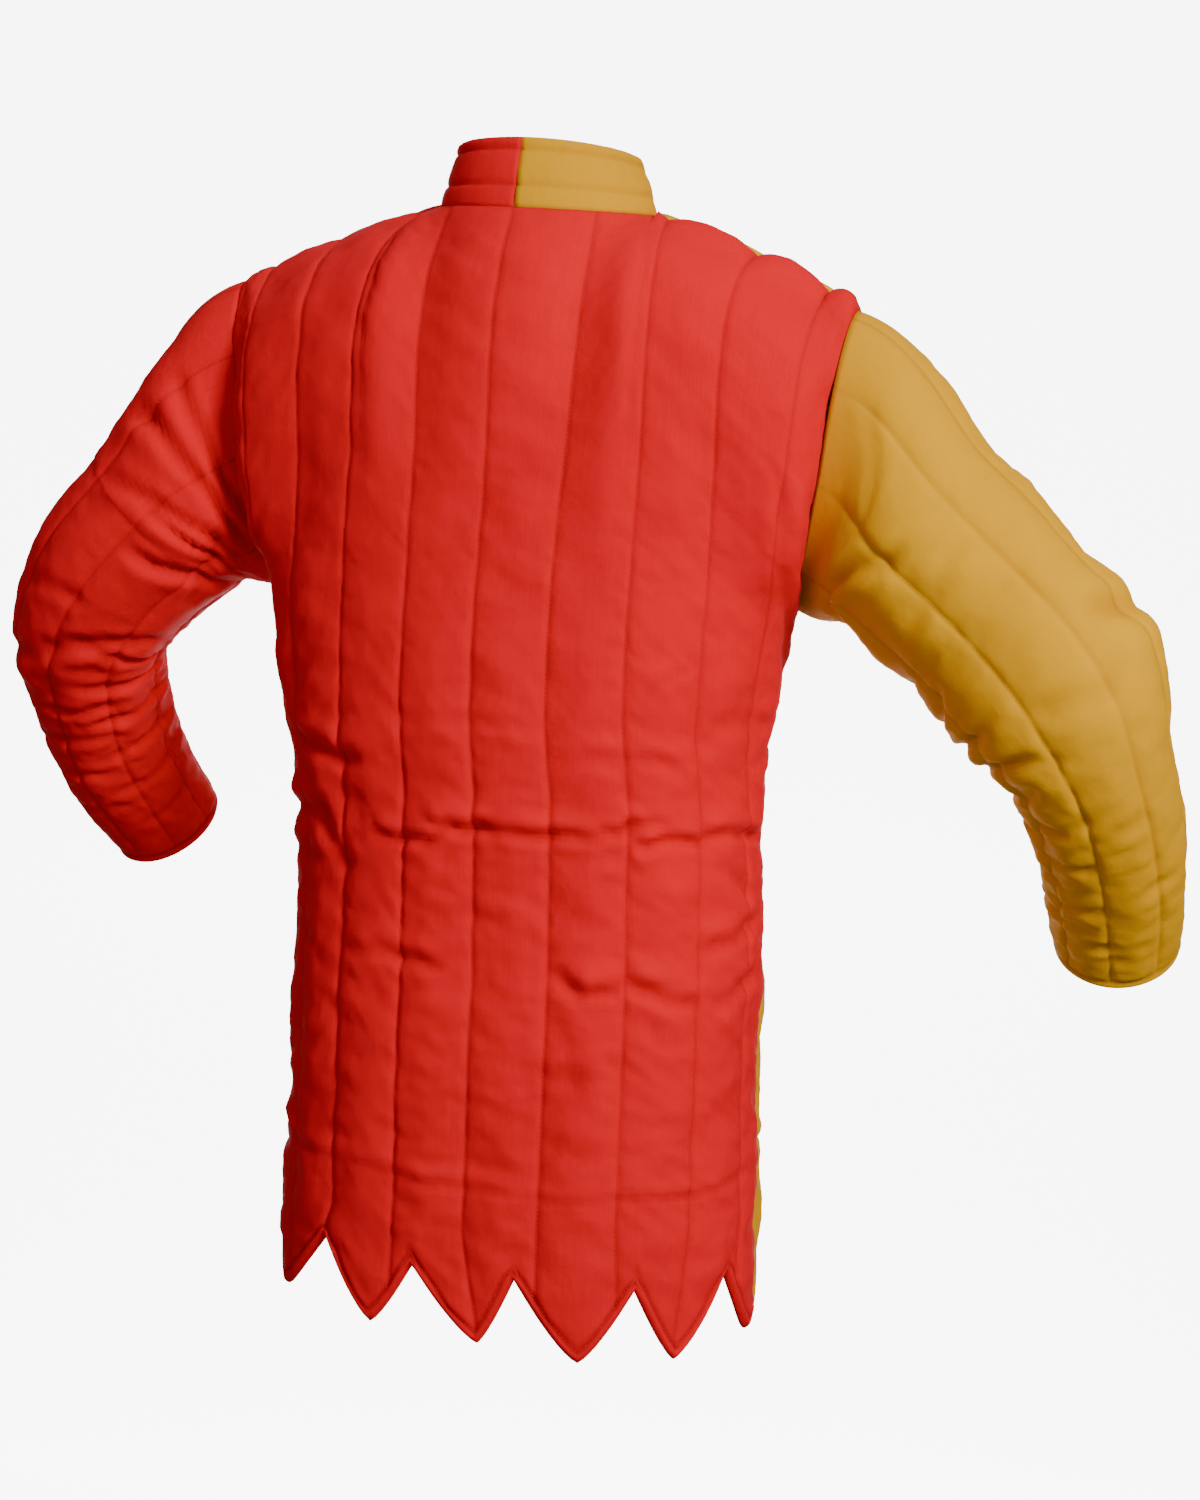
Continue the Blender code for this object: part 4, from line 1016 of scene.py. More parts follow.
# %% Panel surfaces
HEM_ROLL, HEM_DITCH, HEM_DITCH_WIDTH = 0.0065, 0.0072, 0.0012
CALM_BY_HEM, DITCH_SHADE, FRONT_DITCH, FRONT_PAD = 0.011, 0.0015, 0.0100, 0.0195


def border(points):
    """Distance of the points near the dags from the hem's edge, which is the last row; 1 above them."""
    edge, near = points[-1], len(points) - DAG - 3
    distance = np.full(points.shape[:2], 1.0)
    flat = points[near:].reshape(-1, 3)
    best = np.full(len(flat), 1.0)
    for a, b in zip(edge, edge[1:]):
        way = b - a
        share = np.clip(((flat - a) @ way) / max(way @ way, 1e-12), 0, 1)
        best = np.minimum(best, np.linalg.norm(flat - a - share[:, None] * way, axis=1))
    distance[near:] = best.reshape(len(points) - near, -1)
    return distance


def rolled(distance, width, ditch, ditch_width):
    """The raised border along an edge, and the valley of the stitches beside it."""
    roll = 0.0016 * np.sin(np.pi * np.clip(distance / width, 0, 1)) ** 0.8
    return roll - 0.0011 * bell(distance - ditch, ditch_width)


def contour(points, values, level):
    """Places on each column where the values reach a level, as a path of points and normals."""
    normals = outward(points)
    path, facing = [], []
    for column in range(points.shape[1]):
        line = values[:, column]
        for row in range(len(line) - 1, len(points) - DAG - 3, -1):
            if line[row] < level <= line[row - 1]:
                share = (level - line[row]) / (line[row - 1] - line[row])
                path.append(mix(points[row, column], points[row - 1, column], share))
                facing.append(normals[row, column])
                break
    return np.array(path), np.array(facing)


def pressed_crease(x, z):
    height = np.interp(x / CHANNEL, PRESSED[:, 0], PRESSED[:, 1])
    off = z - height + 0.0012 * np.sin(x * 60)
    strength = 0.75 + 0.25 * np.sin(x * 33 + 1)
    return strength * (-0.0019 * bell(off, 0.0024) + 0.0018 * bell(off - 0.008, 0.006))


def rise_of_panel(columns, points, normals, table, seed, first, neck, moves):
    """What lifts a panel's outer face: the padding's moves, and the rise of folds, creases and unevenness."""
    z, length, is_back = points[..., 2], way_over(points), first == 0
    grid = np.broadcast_to(columns, z.shape)
    off_middle = np.abs(grid)
    uneven, small, share, from_line = quilting(off_middle, length + 3.0 * (grid < 0), seed, first=first)
    sewn = off_middle >= first
    on_neck = np.where(off_middle <= neck, ease(length / 0.035), 0.45 + 0.55 * ease(length / 0.02))
    swell = PUFF * pillow(share) * uneven
    if moves is None:
        moves = normals * (0.7 * swell * on_neck * sewn)[..., None]
    else:
        past_neck = (off_middle > neck) * sewn
        edge, reach = (0.5 + 0.45 * ease(length / 0.012), 0.04) if is_back else (0.5, 0.02)
        edge = edge * np.where((grid > 0) & is_back, 0.40, 1.35)
        scallop = swell * past_neck * edge * (1 - ease((length - 0.012) / reach))
        lower = 1 - past_neck * (not is_back) * (1 - ease(length / 0.07))
        last = STEPS * (BACK_CHANNELS if is_back else FRONT_CHANNELS) + first
        by_arm = ease((off_middle - last + STEPS) / STEPS) * (z > ARMPIT_Z) * ease((z - ARMPIT_Z) / 0.05)
        moves = moves * (uneven * sewn * lower * (1 - 0.55 * by_arm))[..., None] + normals * scallop[..., None]
    x = np.sign(grid) * np.maximum(off_middle - first, 0) / STEPS * CHANNEL
    folds = folded(x, z, table, CHANNEL, seed) + pressed_crease(x, z)
    large = 0.0016 * waves(x, z, 0.16, seed + 60) + 0.0009 * waves(x, z * 1.5, 0.06, seed + 61)
    return moves, small * on_neck * sewn + folds + large * ease(length / 0.05), from_line, folds


def row_places(rows):
    """0 to 1 down the upper body, 1 to 2 down to above the dags, and 2 to 3 to the hem."""
    scale = {"upper": lambda v: v / ARMHOLE_ROWS, "dag": lambda v: 2 + v,
             "body": lambda v: 1 + (ARMPIT_Z - v) / (ARMPIT_Z - DAG_START)}
    return np.array([scale[kind](value) for kind, value in rows])


def panel_padding(coarse, known, dense, first, seed):
    """The padding's moves on a panel: `known` and `dense` are the columns of the coarse and dense grids."""
    if not SIMULATED:
        return None
    z = coarse[..., 2]
    low = ease((ARMPIT_Z + 0.02 - z) / 0.16)
    full = mix(0.34, 0.82, low)[..., None]
    patchy = 0.5 + 0.5 * waves(np.broadcast_to(known / STEPS * CHANNEL, z.shape), z, 0.13, seed + 7)
    keep = np.clip(mix(0.10, 0.45, low) + 0.30 * patchy, 0.05, 0.85)
    moves = full * padding_moves(coarse, outward(coarse), known, first, STEPS, keep, seed)
    dense = np.clip(dense, known[0], known[-1])
    return carried_over(moves, row_places(COARSE_ROWS), known, row_places(ROWS), dense)


print("the pressed crease hangs at", pressed_crease(0.0, -0.749).round(4))

# %% [markdown]
# A body panel is dressed in one go: padding and folds calm down towards the hem's rolled border, and a
# front has a rolled edge with a plain strip behind it as well. The stitches follow the columns on which a
# channel ends, and the border's ditch.


# %% Dress a body panel
def front_strip(from_front, columns):
    """The rolled front edge with the valley of its stitches, and the thin padding of the strip behind."""
    roll = 0.0012 * np.sin(np.pi * np.clip(from_front / 0.009, 0, 1))
    roll = roll - 0.0010 * bell(from_front - FRONT_DITCH, 0.0012)
    pad = 0.0022 * pillow(np.clip((from_front - FRONT_DITCH) / FRONT_PAD, 0, 1))
    return roll + pad * (from_front > FRONT_DITCH) * (columns < FRONT_FIRST)


def column_paths(grid, outer, facing, first):
    """The lines of quilting inside a panel: each column that ends a channel."""
    paths = []
    for index, column in enumerate(grid[1:-1], 1):
        place = (abs(column) - first) / STEPS
        if abs(place - round(place)) < 1e-6 and abs(column) > first - 1e-6:
            paths.append((outer[2:-8, index], facing[2:-8, index]))
    return paths


def dress_panel(name, side, material, points, normals, grid, padding, table, seed, first, neck,
                from_front=None):
    """A panel's wall, its outer points and normals, and its lines of stitches."""
    hem = border(points)
    moves, rise, line, folds = rise_of_panel(grid, points, normals, table, seed, first, neck, padding)
    calm = ease(hem / CALM_BY_HEM)
    moves = moves * calm[..., None]
    # dark is painted shade in the ditch beside the hem's stitches, and beside the front edge's; it is taken off
    # the painted shading below.
    rise, edge, dark = rise * calm, hem, bell(hem - HEM_DITCH, DITCH_SHADE)
    if from_front is not None:
        rise = rise * ease(from_front / 0.008) + front_strip(from_front, grid) * calm
        edge = np.minimum(hem, from_front)
        dark = dark + bell(from_front - FRONT_DITCH, DITCH_SHADE)
    rise = rise + rolled(hem, HEM_ROLL, HEM_DITCH, HEM_DITCH_WIDTH)
    # Painted shading: darker in stitched valleys and fold bottoms, paler on crests.
    painted_shading = darken(np.where(calm > 0.5, line, 1), rise + (moves * normals).sum(-1), folds * calm)
    faces = finish_wall(points, moves, rise, normals, edge)
    piece, outer = worn_wall(name, side, points, faces, painted_shading - 0.25 * dark, material)
    facing = outward(outer)
    paths = column_paths(grid, outer, facing, first) + [contour(outer, hem, HEM_DITCH)]
    return piece, outer, facing, paths


print("stitches beside the hem lie", HEM_DITCH * 1000, "mm from its edge")


# %% Build the back
def whole_back(columns, rows):
    """Points and columns of the back, from the right side seam to the left one."""
    left = half_panel(columns, rows, False, BACK_HEM_LEFT)
    other = half_panel(columns, rows, False, BACK_HEM_RIGHT) * (-1, 1, 1)
    return np.concatenate([other[:, :0:-1], left], axis=1), np.concatenate([-columns[:0:-1], columns])


back_points, back_grid = whole_back(BACK_COLUMNS, ROWS)
back_padding = panel_padding(*whole_back(BACK_COARSE, COARSE_ROWS), back_grid, 0.0, 5)
back, _, _, back_paths = dress_panel(
    "quilted_back", 1, RED, back_points, outward(back_points), back_grid, back_padding, BACK_FOLDS, 11, 0.0,
    BACK_NECK_COLUMN)
back_thread = sew("back_thread", back_paths, RED_THREAD)
print("the back has", len(back.data.polygons) * 2, "triangles and", len(back_paths), "lines of stitches")

# %% [markdown]
# ## The two fronts
# Both fronts are made from the same half panel. The wearer's left one is red and laps over the yellow one,
# so it is lifted along its strip. The free edge down the front is rolled like the hem.


# %% Build the fronts
EDGE_ROW = 120


def build_front(name, side, material, seed):
    seam_z = (BACK_HEM_LEFT if side > 0 else BACK_HEM_RIGHT)[-1][2]
    hem = FRONT_HEM + ((FRONT_COLUMNS[-1], None, seam_z),)
    points = half_panel(FRONT_COLUMNS, ROWS, True, hem)
    normals = outward(points)
    if side > 0:
        lift = LAP_LIFT * (1 - ease((FRONT_COLUMNS - FRONT_FIRST) / STEPS))
        points = points + normals * lift[None, :, None]
    from_front = way_over(points, axis=1)
    coarse = half_panel(FRONT_COARSE, COARSE_ROWS, True, hem)
    padding = panel_padding(coarse, FRONT_COARSE, FRONT_COLUMNS, FRONT_FIRST, seed)
    table = FRONT_FOLDS * (1, 1, 1, 1, 1 + 0.1 * side, 1, 1)
    piece, outer, facing, paths = dress_panel(
        name, side, material, points, normals, FRONT_COLUMNS, padding, table, seed, FRONT_FIRST,
        FRONT_NECK_COLUMN, from_front)
    near_edge = int(np.argmin(np.abs(from_front[EDGE_ROW] - FRONT_DITCH)))
    paths.append((outer[2:-10, near_edge], facing[2:-10, near_edge]))
    return piece, outer, facing, paths


front_left, left_outer, left_facing, left_paths = build_front("quilted_front_left", 1, RED, 211)
front_right, _, _, right_paths = build_front("quilted_front_right", -1, YELLOW, 307)
left_thread = sew("front_left_thread", left_paths, RED_THREAD)
right_thread = sew("front_right_thread", right_paths, YELLOW_THREAD)
print("each front has", len(front_left.data.polygons) * 2, "triangles")

# %% [markdown]
# ## The collar
# The stand is two padded strips that meet at the centre back. Each has three cushions, parted by two rows
# of stitching, and its top is rolled.


# %% Build the collar
COLLAR_LINES = (0.0, 0.31, 0.81, 1.0)
COLLAR_SWELLS = (0.35, 0.45, 0.40)
COLLAR_ROWS, COLLAR_COLUMNS, COLLAR_CLOTH = 30, 64, 0.05
COLLAR_FOLD = (0.145, 0.022, 0.165, 0.030, 2.2, 4.0, 0.8)


def collar_base():
    """The neckline from the centre back to the centre front, evenly spaced."""
    back_side = top_line(np.linspace(0, BACK_NECK_COLUMN, 60), False)
    front_side = top_line(np.linspace(FRONT_NECK_COLUMN, 1, 60), True)[1:]
    line = np.vstack([back_side, front_side])
    way = distance_along(line)
    at = np.linspace(0, way[-1] - COLLAR_GAP, COLLAR_COLUMNS)
    return along_line(line, way, at)


def build_collar(name, side, material, seed):
    base = collar_base()
    angle = np.arctan2(base[:, 0] / NECK_SIDE, base[:, 1] / NECK_BACK)
    height = COLLAR_HEIGHT + COLLAR_SLOPE * np.cos(angle)
    share = np.linspace(1, 0, COLLAR_ROWS) ** 0.9
    taper = mix(1.0, COLLAR_TAPER, share)
    points = np.stack([base[None, :, 0] * taper[:, None], base[None, :, 1] * taper[:, None],
                       base[None, :, 2] + SEAM + height[None] * share[:, None]], -1)
    normals = outward(points)
    normals[:, 0, 0] = 0
    normals = unit(normals)
    cushion = np.clip(np.searchsorted(COLLAR_LINES, share, side="right") - 1, 0, 2)
    lines = np.array(COLLAR_LINES)
    within = (share - lines[cushion]) / (lines[cushion + 1] - lines[cushion])
    around = distance_along(base)
    x, y = np.meshgrid(around, share * COLLAR_CLOTH)
    swell = COLLAR_PUFF * np.array(COLLAR_SWELLS)[cushion] * pillow(within)
    from_line = np.min([np.abs(share - line) * COLLAR_CLOTH for line in COLLAR_LINES[1:3]], axis=0)[:, None]
    pucker = 0.0005 * waves(x, y * 0.2, 0.012, seed) * np.exp(-from_line / 0.008) * ease(from_line / 0.003)
    rise = swell[:, None] * (1 + 0.2 * waves(x, y, 0.06, seed + 1)) + pucker
    rise = rise - 0.0009 * bell(from_line, 0.0015)
    rise = rise + 0.0008 * waves(x, y, 0.09, seed + 2) * np.sin(np.pi * share)[:, None]
    rise = rise + fold(x, y, COLLAR_FOLD, seed)
    edge = np.minimum(way_over(points), (around[-1] - around)[None, :])
    faces = finish_wall(points, np.zeros(points.shape), rise, normals, edge)
    # The collar's painted shading: darker in its stitched valleys, paler on its cushions' crests.
    piece, outer = worn_wall(name, side, points, faces, darken(from_line, rise, 0), material)
    facing = outward(outer)
    rows = [int(np.argmin(np.abs(share - level))) for level in COLLAR_LINES[1:3]]
    return piece, [(outer[row, 1:-2], facing[row, 1:-2]) for row in rows]


collar_left, collar_left_paths = build_collar("padded_collar_left", 1, RED, 401)
collar_right, collar_right_paths = build_collar("padded_collar_right", -1, YELLOW, 433)
collar_left_thread = sew("collar_left_thread", collar_left_paths, RED_THREAD)
collar_right_thread = sew("collar_right_thread", collar_right_paths, YELLOW_THREAD)
print("each collar half has", len(collar_left.data.polygons) * 2, "triangles")

# %% [markdown]
# ## The sleeves
# A sleeve starts on the armhole and swings into a tube whose middle, outward and backward radii are given
# in seven places. The tube's sections are turned along the arm without twisting: the direction called up
# is carried from section to section and only straightened against the new way.

# %% Sleeve measurements
SLEEVE_COLUMNS, SLEEVE_CHANNELS, SLEEVE_STEPS, SLEEVE_FIRST = 24, 8, 3, 1
SLEEVE_PUFF, SLEEVE_WIDTH, SLEEVE_UNIT = 0.0055, 0.055, 0.0185
CUFF_ROLL, CUFF_DITCH, CUFF_DITCH_WIDTH = 0.0075, 0.0085, 0.0013
CAP_DOWN_LEFT, CAP_DOWN_RIGHT = -0.16, -0.32
SLEEVE_RIGHT = np.array((
    # x, y, z, radius_out, radius_back, outer_puff
    (0.311, 0.004, -0.266, 0.080, 0.078, 1.7),
    (0.361, 0.008, -0.313, 0.077, 0.075, 1.6),
    (0.405, 0.010, -0.362, 0.078, 0.071, 1.7),
    (0.432, -0.012, -0.417, 0.061, 0.065, 0.6),
    (0.443, -0.052, -0.468, 0.055, 0.058, 0.6),
    (0.447, -0.097, -0.516, 0.051, 0.052, 0.6),
    (0.447, -0.140, -0.563, 0.047, 0.048, 0.5),
))
SLEEVE_LEFT = np.array((
    (0.326, -0.002, -0.242, 0.078, 0.077, 1.7),
    (0.371, -0.004, -0.288, 0.071, 0.072, 1.7),
    (0.403, -0.020, -0.331, 0.062, 0.065, 1.4),
    (0.418, -0.055, -0.374, 0.056, 0.060, 0.6),
    (0.425, -0.096, -0.417, 0.053, 0.056, 0.6),
    (0.421, -0.140, -0.461, 0.051, 0.052, 0.6),
    (0.411, -0.185, -0.505, 0.048, 0.049, 0.5),
))
SLEEVE_ACROSS = (0, 0.03, 0.08, 0.16, 0.26, 0.38, 0.5, 0.62, 0.74, 0.84, 0.92, 0.97)
CAP_LINES, TUBE_LINES = ((28, 20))
COARSE_CAP, COARSE_TUBE = 16, 13
ring_columns = channel_columns(SLEEVE_CHANNELS, SLEEVE_ACROSS, SLEEVE_FIRST, SLEEVE_STEPS)[:-1]
coarse_lines = channel_columns(SLEEVE_CHANNELS, EVEN, SLEEVE_FIRST, SLEEVE_STEPS)
print(len(ring_columns), "columns round a sleeve")


# %% Sleeve surface
def through(table, at):
    """A smooth curve through a table's rows (the same one that its half steps lie on)."""
    index = int(min(max(at, 0), len(table) - 1.000001))
    near = [table[min(max(index + k, 0), len(table) - 1)] for k in (-1, 0, 1, 2)]
    return bent(near, at - index)


def sleeve_points(table, side, columns, cap_lines, tube_lines):
    """The sleeve's surface, its top channel's puff, a fade from the armhole, and the rows' stations."""
    stations = np.linspace(0, len(table) - 1, tube_lines * (len(table) - 1) + 1)
    rows = np.array([through(table, s) for s in stations])
    middles = rows[:, :3] * (side, 1, 1)
    ways = unit(np.gradient(middles, axis=0))
    carried = np.array([0.0, 0.0, 1.0])
    angle = 2 * np.pi * columns / SLEEVE_COLUMNS
    tube = []
    for middle, way, row in zip(middles, ways, rows):
        carried = unit(carried - way * (carried @ way))
        rear = np.cross(carried, way) * side
        out, back_way = row[3] * np.cos(angle), row[4] * np.sin(angle)
        tube.append(middle + carried * out[:, None] + rear * back_way[:, None])
    tube = np.array(tube)
    column = columns % SLEEVE_COLUMNS
    behind = column <= ARMHOLE_ROWS
    row = np.where(behind, column, SLEEVE_COLUMNS - column)
    ring = worn(np.where(behind[:, None], armhole(row, False), armhole(row, True)) * (side, 1, 1))
    span = np.linalg.norm(tube[0] - ring, axis=1)[:, None]
    under, swing = (1 - np.cos(angle)) / 2, np.sin(angle)
    top_down = CAP_DOWN_LEFT if side > 0 else CAP_DOWN_RIGHT
    leave = np.stack([side * mix(0.96, 0.75, under), 0.2 * swing, mix(top_down, -0.65, under)], 1) * span
    shares = np.arange(cap_lines) / cap_lines
    cap = [hermite(ring, leave, tube[0], ways[0] * span, share) for share in shares]
    puff = np.concatenate([np.full(cap_lines, table[0, 5]), rows[:, 5]])
    fade = np.concatenate([ease(shares * 5 / 3), np.ones(len(tube))])
    return np.concatenate([np.array(cap), tube]), puff, fade, np.concatenate([shares - 1, stations])


trial = sleeve_points(SLEEVE_RIGHT, -1, ring_columns, CAP_LINES, TUBE_LINES)[0]
print("a sleeve is", trial.shape[0], "by", trial.shape[1], "points")

# %% [markdown]
# On the sleeves the folds run mostly across the arm. They are deepest in the bend of the elbow and under
# the arm, where the cloth is crushed, and shallow along the outside. A place is given in columns round
# the arm, of which there are 24 from the top backwards, and in metres from the armhole.

# %% Folds of the sleeves
RIGHT_SLEEVE_FOLDS = np.array((
    # column_1, way_1, column_2, way_2, depth, width, bulge
    (9.8, 0.060, 6.4, 0.112, 6.5, 7.0, 2.2),
    (10.2, 0.055, 12.4, 0.150, 5.0, 6.5, 1.8),
    (11.0, 0.168, 13.4, 0.200, 5.0, 6.0, 1.8),
    (9.6, 0.196, 13.0, 0.232, 4.4, 5.5, 1.6),
    (8.4, 0.236, 14.0, 0.262, 5.2, 5.0, 2.0),
    (7.6, 0.268, 13.6, 0.286, 5.0, 4.6, 1.8),
    (6.6, 0.276, 9.6, 0.300, 3.0, 4.5, 1.0),
    (8.8, 0.306, 14.4, 0.312, 4.6, 4.5, 1.6),
    (6.4, 0.322, 10.6, 0.332, 3.2, 4.5, 1.0),
    (9.6, 0.344, 14.4, 0.338, 4.0, 4.5, 1.4),
    (7.0, 0.360, 11.4, 0.372, 3.0, 4.2, 1.0),
    (9.4, 0.392, 14.0, 0.380, 3.6, 4.5, 1.2),
    (6.8, 0.408, 10.4, 0.418, 2.8, 4.2, 1.0),
    (9.2, 0.438, 13.6, 0.428, 3.2, 4.5, 1.0),
    (6.6, 0.452, 10.0, 0.462, 2.4, 4.0, 0.8),
    (3.4, 0.255, 7.0, 0.246, 2.4, 5.5, 1.0),
    (22.0, 0.232, 3.2, 0.228, 7.0, 7.0, 2.0),
    (3.8, 0.330, 6.6, 0.336, 1.8, 5.0, 0.6),
    (2.6, 0.392, 5.8, 0.398, 1.6, 5.0, 0.5),
    (22.6, 0.352, 2.4, 0.362, 1.6, 5.5, 0.5),
    (4.4, 0.140, 8.6, 0.152, 1.8, 6.0, 0.6),
    (4.0, 0.030, 6.6, 0.070, 2.0, 5.0, 0.6),
    (15.6, 0.070, 18.4, 0.110, 3.0, 6.0, 1.0),
    (14.4, 0.150, 18.6, 0.165, 2.4, 6.0, 0.8),
    (14.6, 0.232, 19.4, 0.236, 3.2, 6.0, 1.2),
    (15.0, 0.275, 19.8, 0.268, 3.0, 5.5, 1.0),
    (15.4, 0.330, 20.0, 0.325, 2.2, 5.5, 0.8),
    (15.0, 0.400, 19.4, 0.405, 2.0, 5.0, 0.6),
))
LEFT_SLEEVE_FOLDS = np.array((
    (1.4, 0.268, 6.2, 0.244, 4.4, 5.5, 2.0),
    (6.0, 0.240, 11.4, 0.196, 5.6, 5.5, 2.2),
    (8.8, 0.050, 11.2, 0.150, 5.0, 6.5, 1.6),
    (3.2, 0.078, 9.8, 0.030, 8.0, 5.0, 3.2),
    (3.6, 0.046, 9.0, 0.018, 6.5, 4.5, 2.6),
    (4.4, 0.116, 10.4, 0.055, 7.0, 5.0, 2.8),
    (6.5, 0.104, 11.2, 0.078, 7.5, 5.0, 3.2),
    (7.5, 0.140, 12.6, 0.112, 6.5, 5.0, 2.8),
    (4.0, 0.208, 7.6, 0.190, 2.6, 5.0, 0.8),
    (7.2, 0.222, 12.6, 0.228, 4.2, 4.6, 1.6),
    (7.6, 0.262, 13.6, 0.258, 4.6, 4.5, 1.6),
    (6.0, 0.288, 10.2, 0.282, 3.0, 4.5, 1.0),
    (9.0, 0.300, 14.2, 0.296, 4.0, 4.5, 1.4),
    (5.6, 0.322, 10.0, 0.318, 3.0, 4.5, 1.0),
    (8.8, 0.346, 13.8, 0.338, 3.8, 4.5, 1.2),
    (5.2, 0.366, 9.4, 0.360, 2.8, 4.2, 1.0),
    (8.6, 0.392, 13.4, 0.384, 3.4, 4.5, 1.0),
    (5.0, 0.408, 9.0, 0.404, 2.6, 4.2, 0.8),
    (8.8, 0.434, 13.0, 0.428, 3.0, 4.2, 1.0),
    (2.0, 0.332, 5.2, 0.340, 1.8, 5.0, 0.6),
    (1.0, 0.390, 4.6, 0.396, 1.8, 5.0, 0.6),
    (22.0, 0.268, 1.6, 0.282, 3.0, 6.0, 1.2),
    (14.6, 0.080, 17.8, 0.120, 3.0, 6.0, 1.0),
    (14.2, 0.190, 18.8, 0.200, 3.0, 6.0, 1.0),
    (14.8, 0.245, 19.4, 0.240, 3.2, 5.5, 1.2),
    (15.2, 0.310, 19.8, 0.300, 2.4, 5.5, 0.8),
    (15.0, 0.380, 19.0, 0.384, 2.0, 5.0, 0.6),
))
print(len(RIGHT_SLEEVE_FOLDS), "and", len(LEFT_SLEEVE_FOLDS), "folds on the sleeves")


# %% Build the sleeves
def sleeve_padding(table, side, stations, seed):
    """The padding's moves on a sleeve, simulated on a coarse one; the inside of the forearm stays crumpled."""
    known = coarse_lines[:-1]
    coarse, _, _, places = sleeve_points(table, side, known, COARSE_CAP, COARSE_TUBE)
    keep = 0.25 + 0.7 * bell(known - 11.5, 5.0)[None, :] * ease((places - 0.5) / 1.5)[:, None]
    moves = padding_moves(coarse, outward(coarse, True), known, SLEEVE_FIRST, SLEEVE_STEPS, keep, seed, True)
    return carried_over(moves, places, coarse_lines, stations, ring_columns, True)


def build_sleeve(name, table, side, fold_table, material, seed):
    points, puff, fade, stations = sleeve_points(table, side, ring_columns, CAP_LINES, TUBE_LINES)
    normals = outward(points, True)
    centre_way = distance_along(points.mean(1))[:, None]
    columns = np.broadcast_to(ring_columns, points.shape[:2])
    length = np.broadcast_to(centre_way, points.shape[:2])
    top_channel = columns >= SLEEVE_COLUMNS + SLEEVE_FIRST - SLEEVE_STEPS
    factor = fade[:, None] * np.where(top_channel, puff[:, None], 1.0)
    uneven, small, share, from_line = quilting(columns, length, seed, SLEEVE_WIDTH, SLEEVE_FIRST, SLEEVE_STEPS)
    if SIMULATED:
        moves = sleeve_padding(table, side, stations, seed) * (0.82 * uneven * factor)[..., None]
    else:
        moves = normals * (0.7 * SLEEVE_PUFF * pillow(share) * uneven * factor)[..., None]
    folds = folded(columns * SLEEVE_UNIT, length, fold_table, SLEEVE_UNIT, seed, SLEEVE_COLUMNS * SLEEVE_UNIT)
    crushed = ease((length - 0.22) / 0.05) * bell(columns - 11, 5.5)
    wrinkle = 1 - np.abs(waves(points[..., 0] * 0.3 + points[..., 1] * 0.3, length, 0.030, seed + 81))
    folds += 0.0016 * crushed * (wrinkle - 0.6)
    large = 0.0016 * waves(points[..., 0] + 0.6 * points[..., 1], points[..., 2], 0.12, seed + 80)
    from_cuff = centre_way[-1, 0] - length
    calm, past_seam = ease((from_cuff - 0.004) / 0.012), ease(length / 0.006 + 0.25)
    rise = (small * fade[:, None] + folds + large * ease(length / 0.03)) * calm
    rise = (rise + rolled(from_cuff, CUFF_ROLL, CUFF_DITCH, CUFF_DITCH_WIDTH)) * past_seam
    moves = moves * (calm * past_seam)[..., None]
    # Painted shading: darker in stitched valleys and folds, paler on crests, and painted shade in the ditch
    # beside the cuff.
    painted_shading = darken(np.where(calm > 0.5, from_line, 1), rise + (moves * normals).sum(-1), folds * calm)
    painted_shading = painted_shading - 0.25 * bell(from_cuff - CUFF_DITCH, 0.0016)
    outer, inner = finish_wall(points, moves, rise, normals, from_cuff)
    layout = np.stack([columns * SLEEVE_UNIT, length], -1)
    piece = wall_object(name, outer, inner, layout, painted_shading, material, closed=True)
    facing = outward(outer, True)
    paths = [(outer[2:-6, i], facing[2:-6, i]) for i in range(0, len(ring_columns), len(SLEEVE_ACROSS))]
    row = int(np.argmin(np.abs(from_cuff[:, 0] - CUFF_DITCH)))
    paths.append((np.vstack([outer[row], outer[row, :1]]), np.vstack([facing[row], facing[row, :1]])))
    return piece, paths


sleeve_right, sleeve_right_paths = build_sleeve(
    "quilted_sleeve_right", SLEEVE_RIGHT, -1, RIGHT_SLEEVE_FOLDS, YELLOW, 503)
sleeve_left, sleeve_left_paths = build_sleeve(
    "quilted_sleeve_left", SLEEVE_LEFT, 1, LEFT_SLEEVE_FOLDS, RED, 607)
sleeve_right_thread = sew("sleeve_right_thread", sleeve_right_paths, YELLOW_THREAD)
sleeve_left_thread = sew("sleeve_left_thread", sleeve_left_paths, RED_THREAD)
print("each sleeve has", len(sleeve_right.data.polygons) * 2, "triangles")

# %% [markdown]
# ## Buttons
# The buttons keep the imported model's shape: a low dome. They get an old brass, mottled dark and bright
# in small random patches.


# %% Old brass
def brass_material():
    material, tree, shader = new_material("old_brass", {"Metallic": 1.0})
    place = add_node(tree, "ShaderNodeTexCoord", (-1100, 0))
    patina = noise(tree, (-900, 0), place.outputs["Object"], 320.0, 6.0)
    dark, bright = (0.16, 0.11, 0.05, 1), (0.60, 0.43, 0.19, 1)
    colour = colour_ramp(tree, (-600, 100), patina, ((0.35, dark), (0.62, bright)))
    gloss = maths(tree, "ADD", (-420, -160), maths(tree, "MULTIPLY", (-600, -160), patina, 0.3), 0.18)
    bump = add_node(tree, "ShaderNodeBump", (-420, -360), {"Distance": 0.0002, "Height": patina})
    wire(tree, shader, {"Base Color": colour, "Roughness": gloss, "Normal": bump.outputs["Normal"]})
    return material


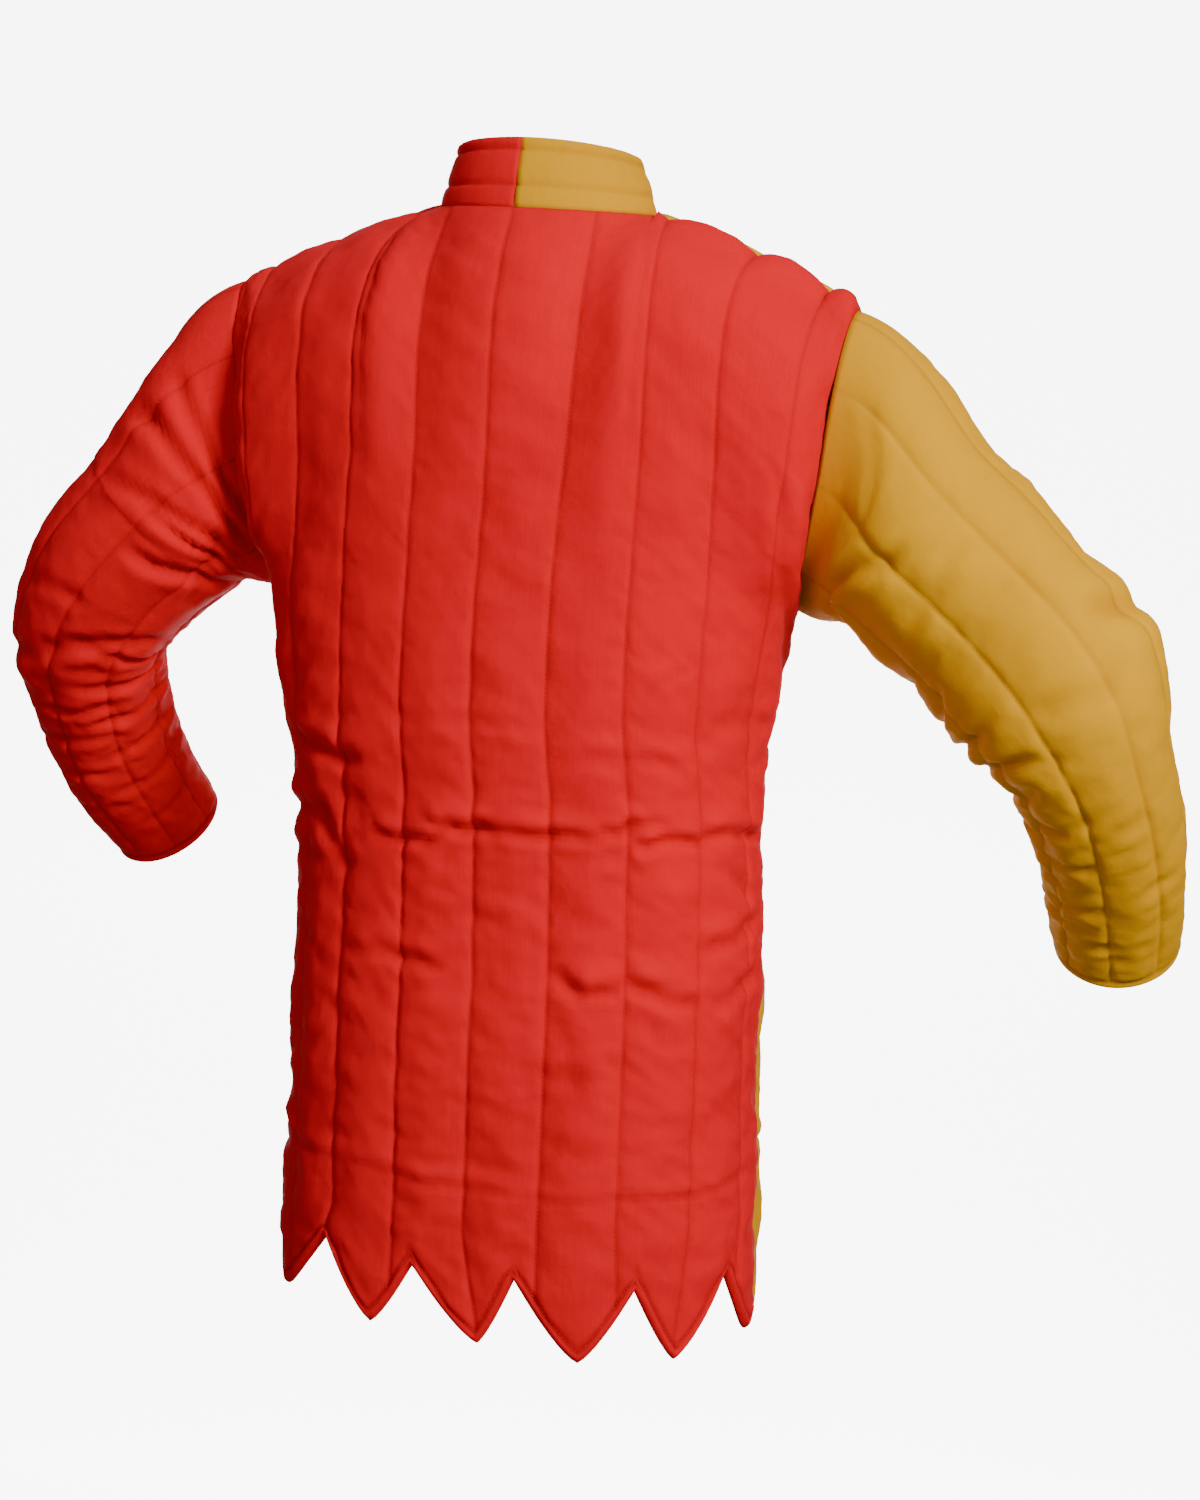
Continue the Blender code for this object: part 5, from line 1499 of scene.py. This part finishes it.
BRASS = brass_material()
buttons = [node for name, node in sorted(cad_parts.items()) if name.startswith("button_")]
for node in buttons:
    for slot in node.material_slots:
        slot.material = BRASS
    node.data.shade_smooth()
print(len(buttons), "buttons in", BRASS.name)

# %% [markdown]
# Each button passes through a buttonhole in the red front. Its edge is bound with short stitches that
# stand side by side across a narrow oval, and show on both sides of the button.


# %% Buttonholes
HOLE_LENGTH, HOLE_HEIGHT = 0.0250, 0.0046
BINDING_PITCH, BINDING_LENGTH, BINDING_WIDTH = 0.0009, 0.0021, 0.0008


def buttonhole(node):
    """A narrow oval that lies on the red front, as a path of points and normals round a button."""
    centre = np.array(sum((node.matrix_world @ Vector(corner) for corner in node.bound_box), Vector()) / 8)
    away = np.linalg.norm(left_outer - centre, axis=-1)
    row, column = np.unravel_index(away.argmin(), away.shape)
    near = (slice(max(row - 6, 0), row + 7), slice(max(column - 9, 0), column + 10))
    cloth, normals = left_outer[near].reshape(-1, 3), left_facing[near].reshape(-1, 3)
    down = unit(left_outer[row + 2, column] - left_outer[row - 2, column])
    sideways = unit(np.cross(left_facing[row, column], down))
    turn = np.linspace(0, 2 * math.pi, 61)[:, None]
    ring = (left_outer[row, column] + sideways * HOLE_LENGTH / 2 * np.cos(turn)
            + down * HOLE_HEIGHT / 2 * np.sin(turn))
    nearest = np.linalg.norm(ring[:, None] - cloth[None], axis=-1).argmin(1)
    off = ((ring - cloth[nearest]) * normals[nearest]).sum(-1, keepdims=True)
    return ring - normals[nearest] * off, normals[nearest]


buttonholes = sew("buttonholes", [buttonhole(node) for node in buttons], RED_THREAD,
                  BINDING_PITCH, BINDING_LENGTH, BINDING_WIDTH, turned=True)
bpy.ops.object.select_all(action="DESELECT")
buttonholes.select_set(True)
left_thread.select_set(True)
bpy.context.view_layer.objects.active = left_thread
bpy.ops.object.join()
print(len(buttons), "buttonholes")

# %% [markdown]
# ## Ride and stand in
# Each piece rides on the one body and stands for its plain solid. The table also names the cloth each was
# cut from, and the areas are of the flat cut in square metres.

# %% Ride and stand in
SEWN = (
    # piece, thread, node, slot, flat width and length, flat area
    (back, back_thread, "back", "red_cloth", (0.62, 0.90), 0.50),
    (front_left, left_thread, "front_left", "red_cloth", (0.33, 0.90), 0.245),
    (front_right, right_thread, "front_right", "yellow_cloth", (0.33, 0.90), 0.245),
    (collar_left, collar_left_thread, "collar_left", "red_cloth", (0.26, 0.066), 0.0150),
    (collar_right, collar_right_thread, "collar_right", "yellow_cloth", (0.26, 0.066), 0.0150),
    (sleeve_left, sleeve_left_thread, "sleeve_left", "red_cloth", (0.50, 0.52), 0.20),
    (sleeve_right, sleeve_right_thread, "sleeve_right", "yellow_cloth", (0.50, 0.52), 0.21),
)
for piece, thread, node, slot_name, flat, area in SEWN:
    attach(piece, "root")
    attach(thread, "root")
    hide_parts(node)
    surface = sum(p.area for p in piece.data.polygons) / 2
    print(node, "has", round(surface, 4), "square metres of cloth")
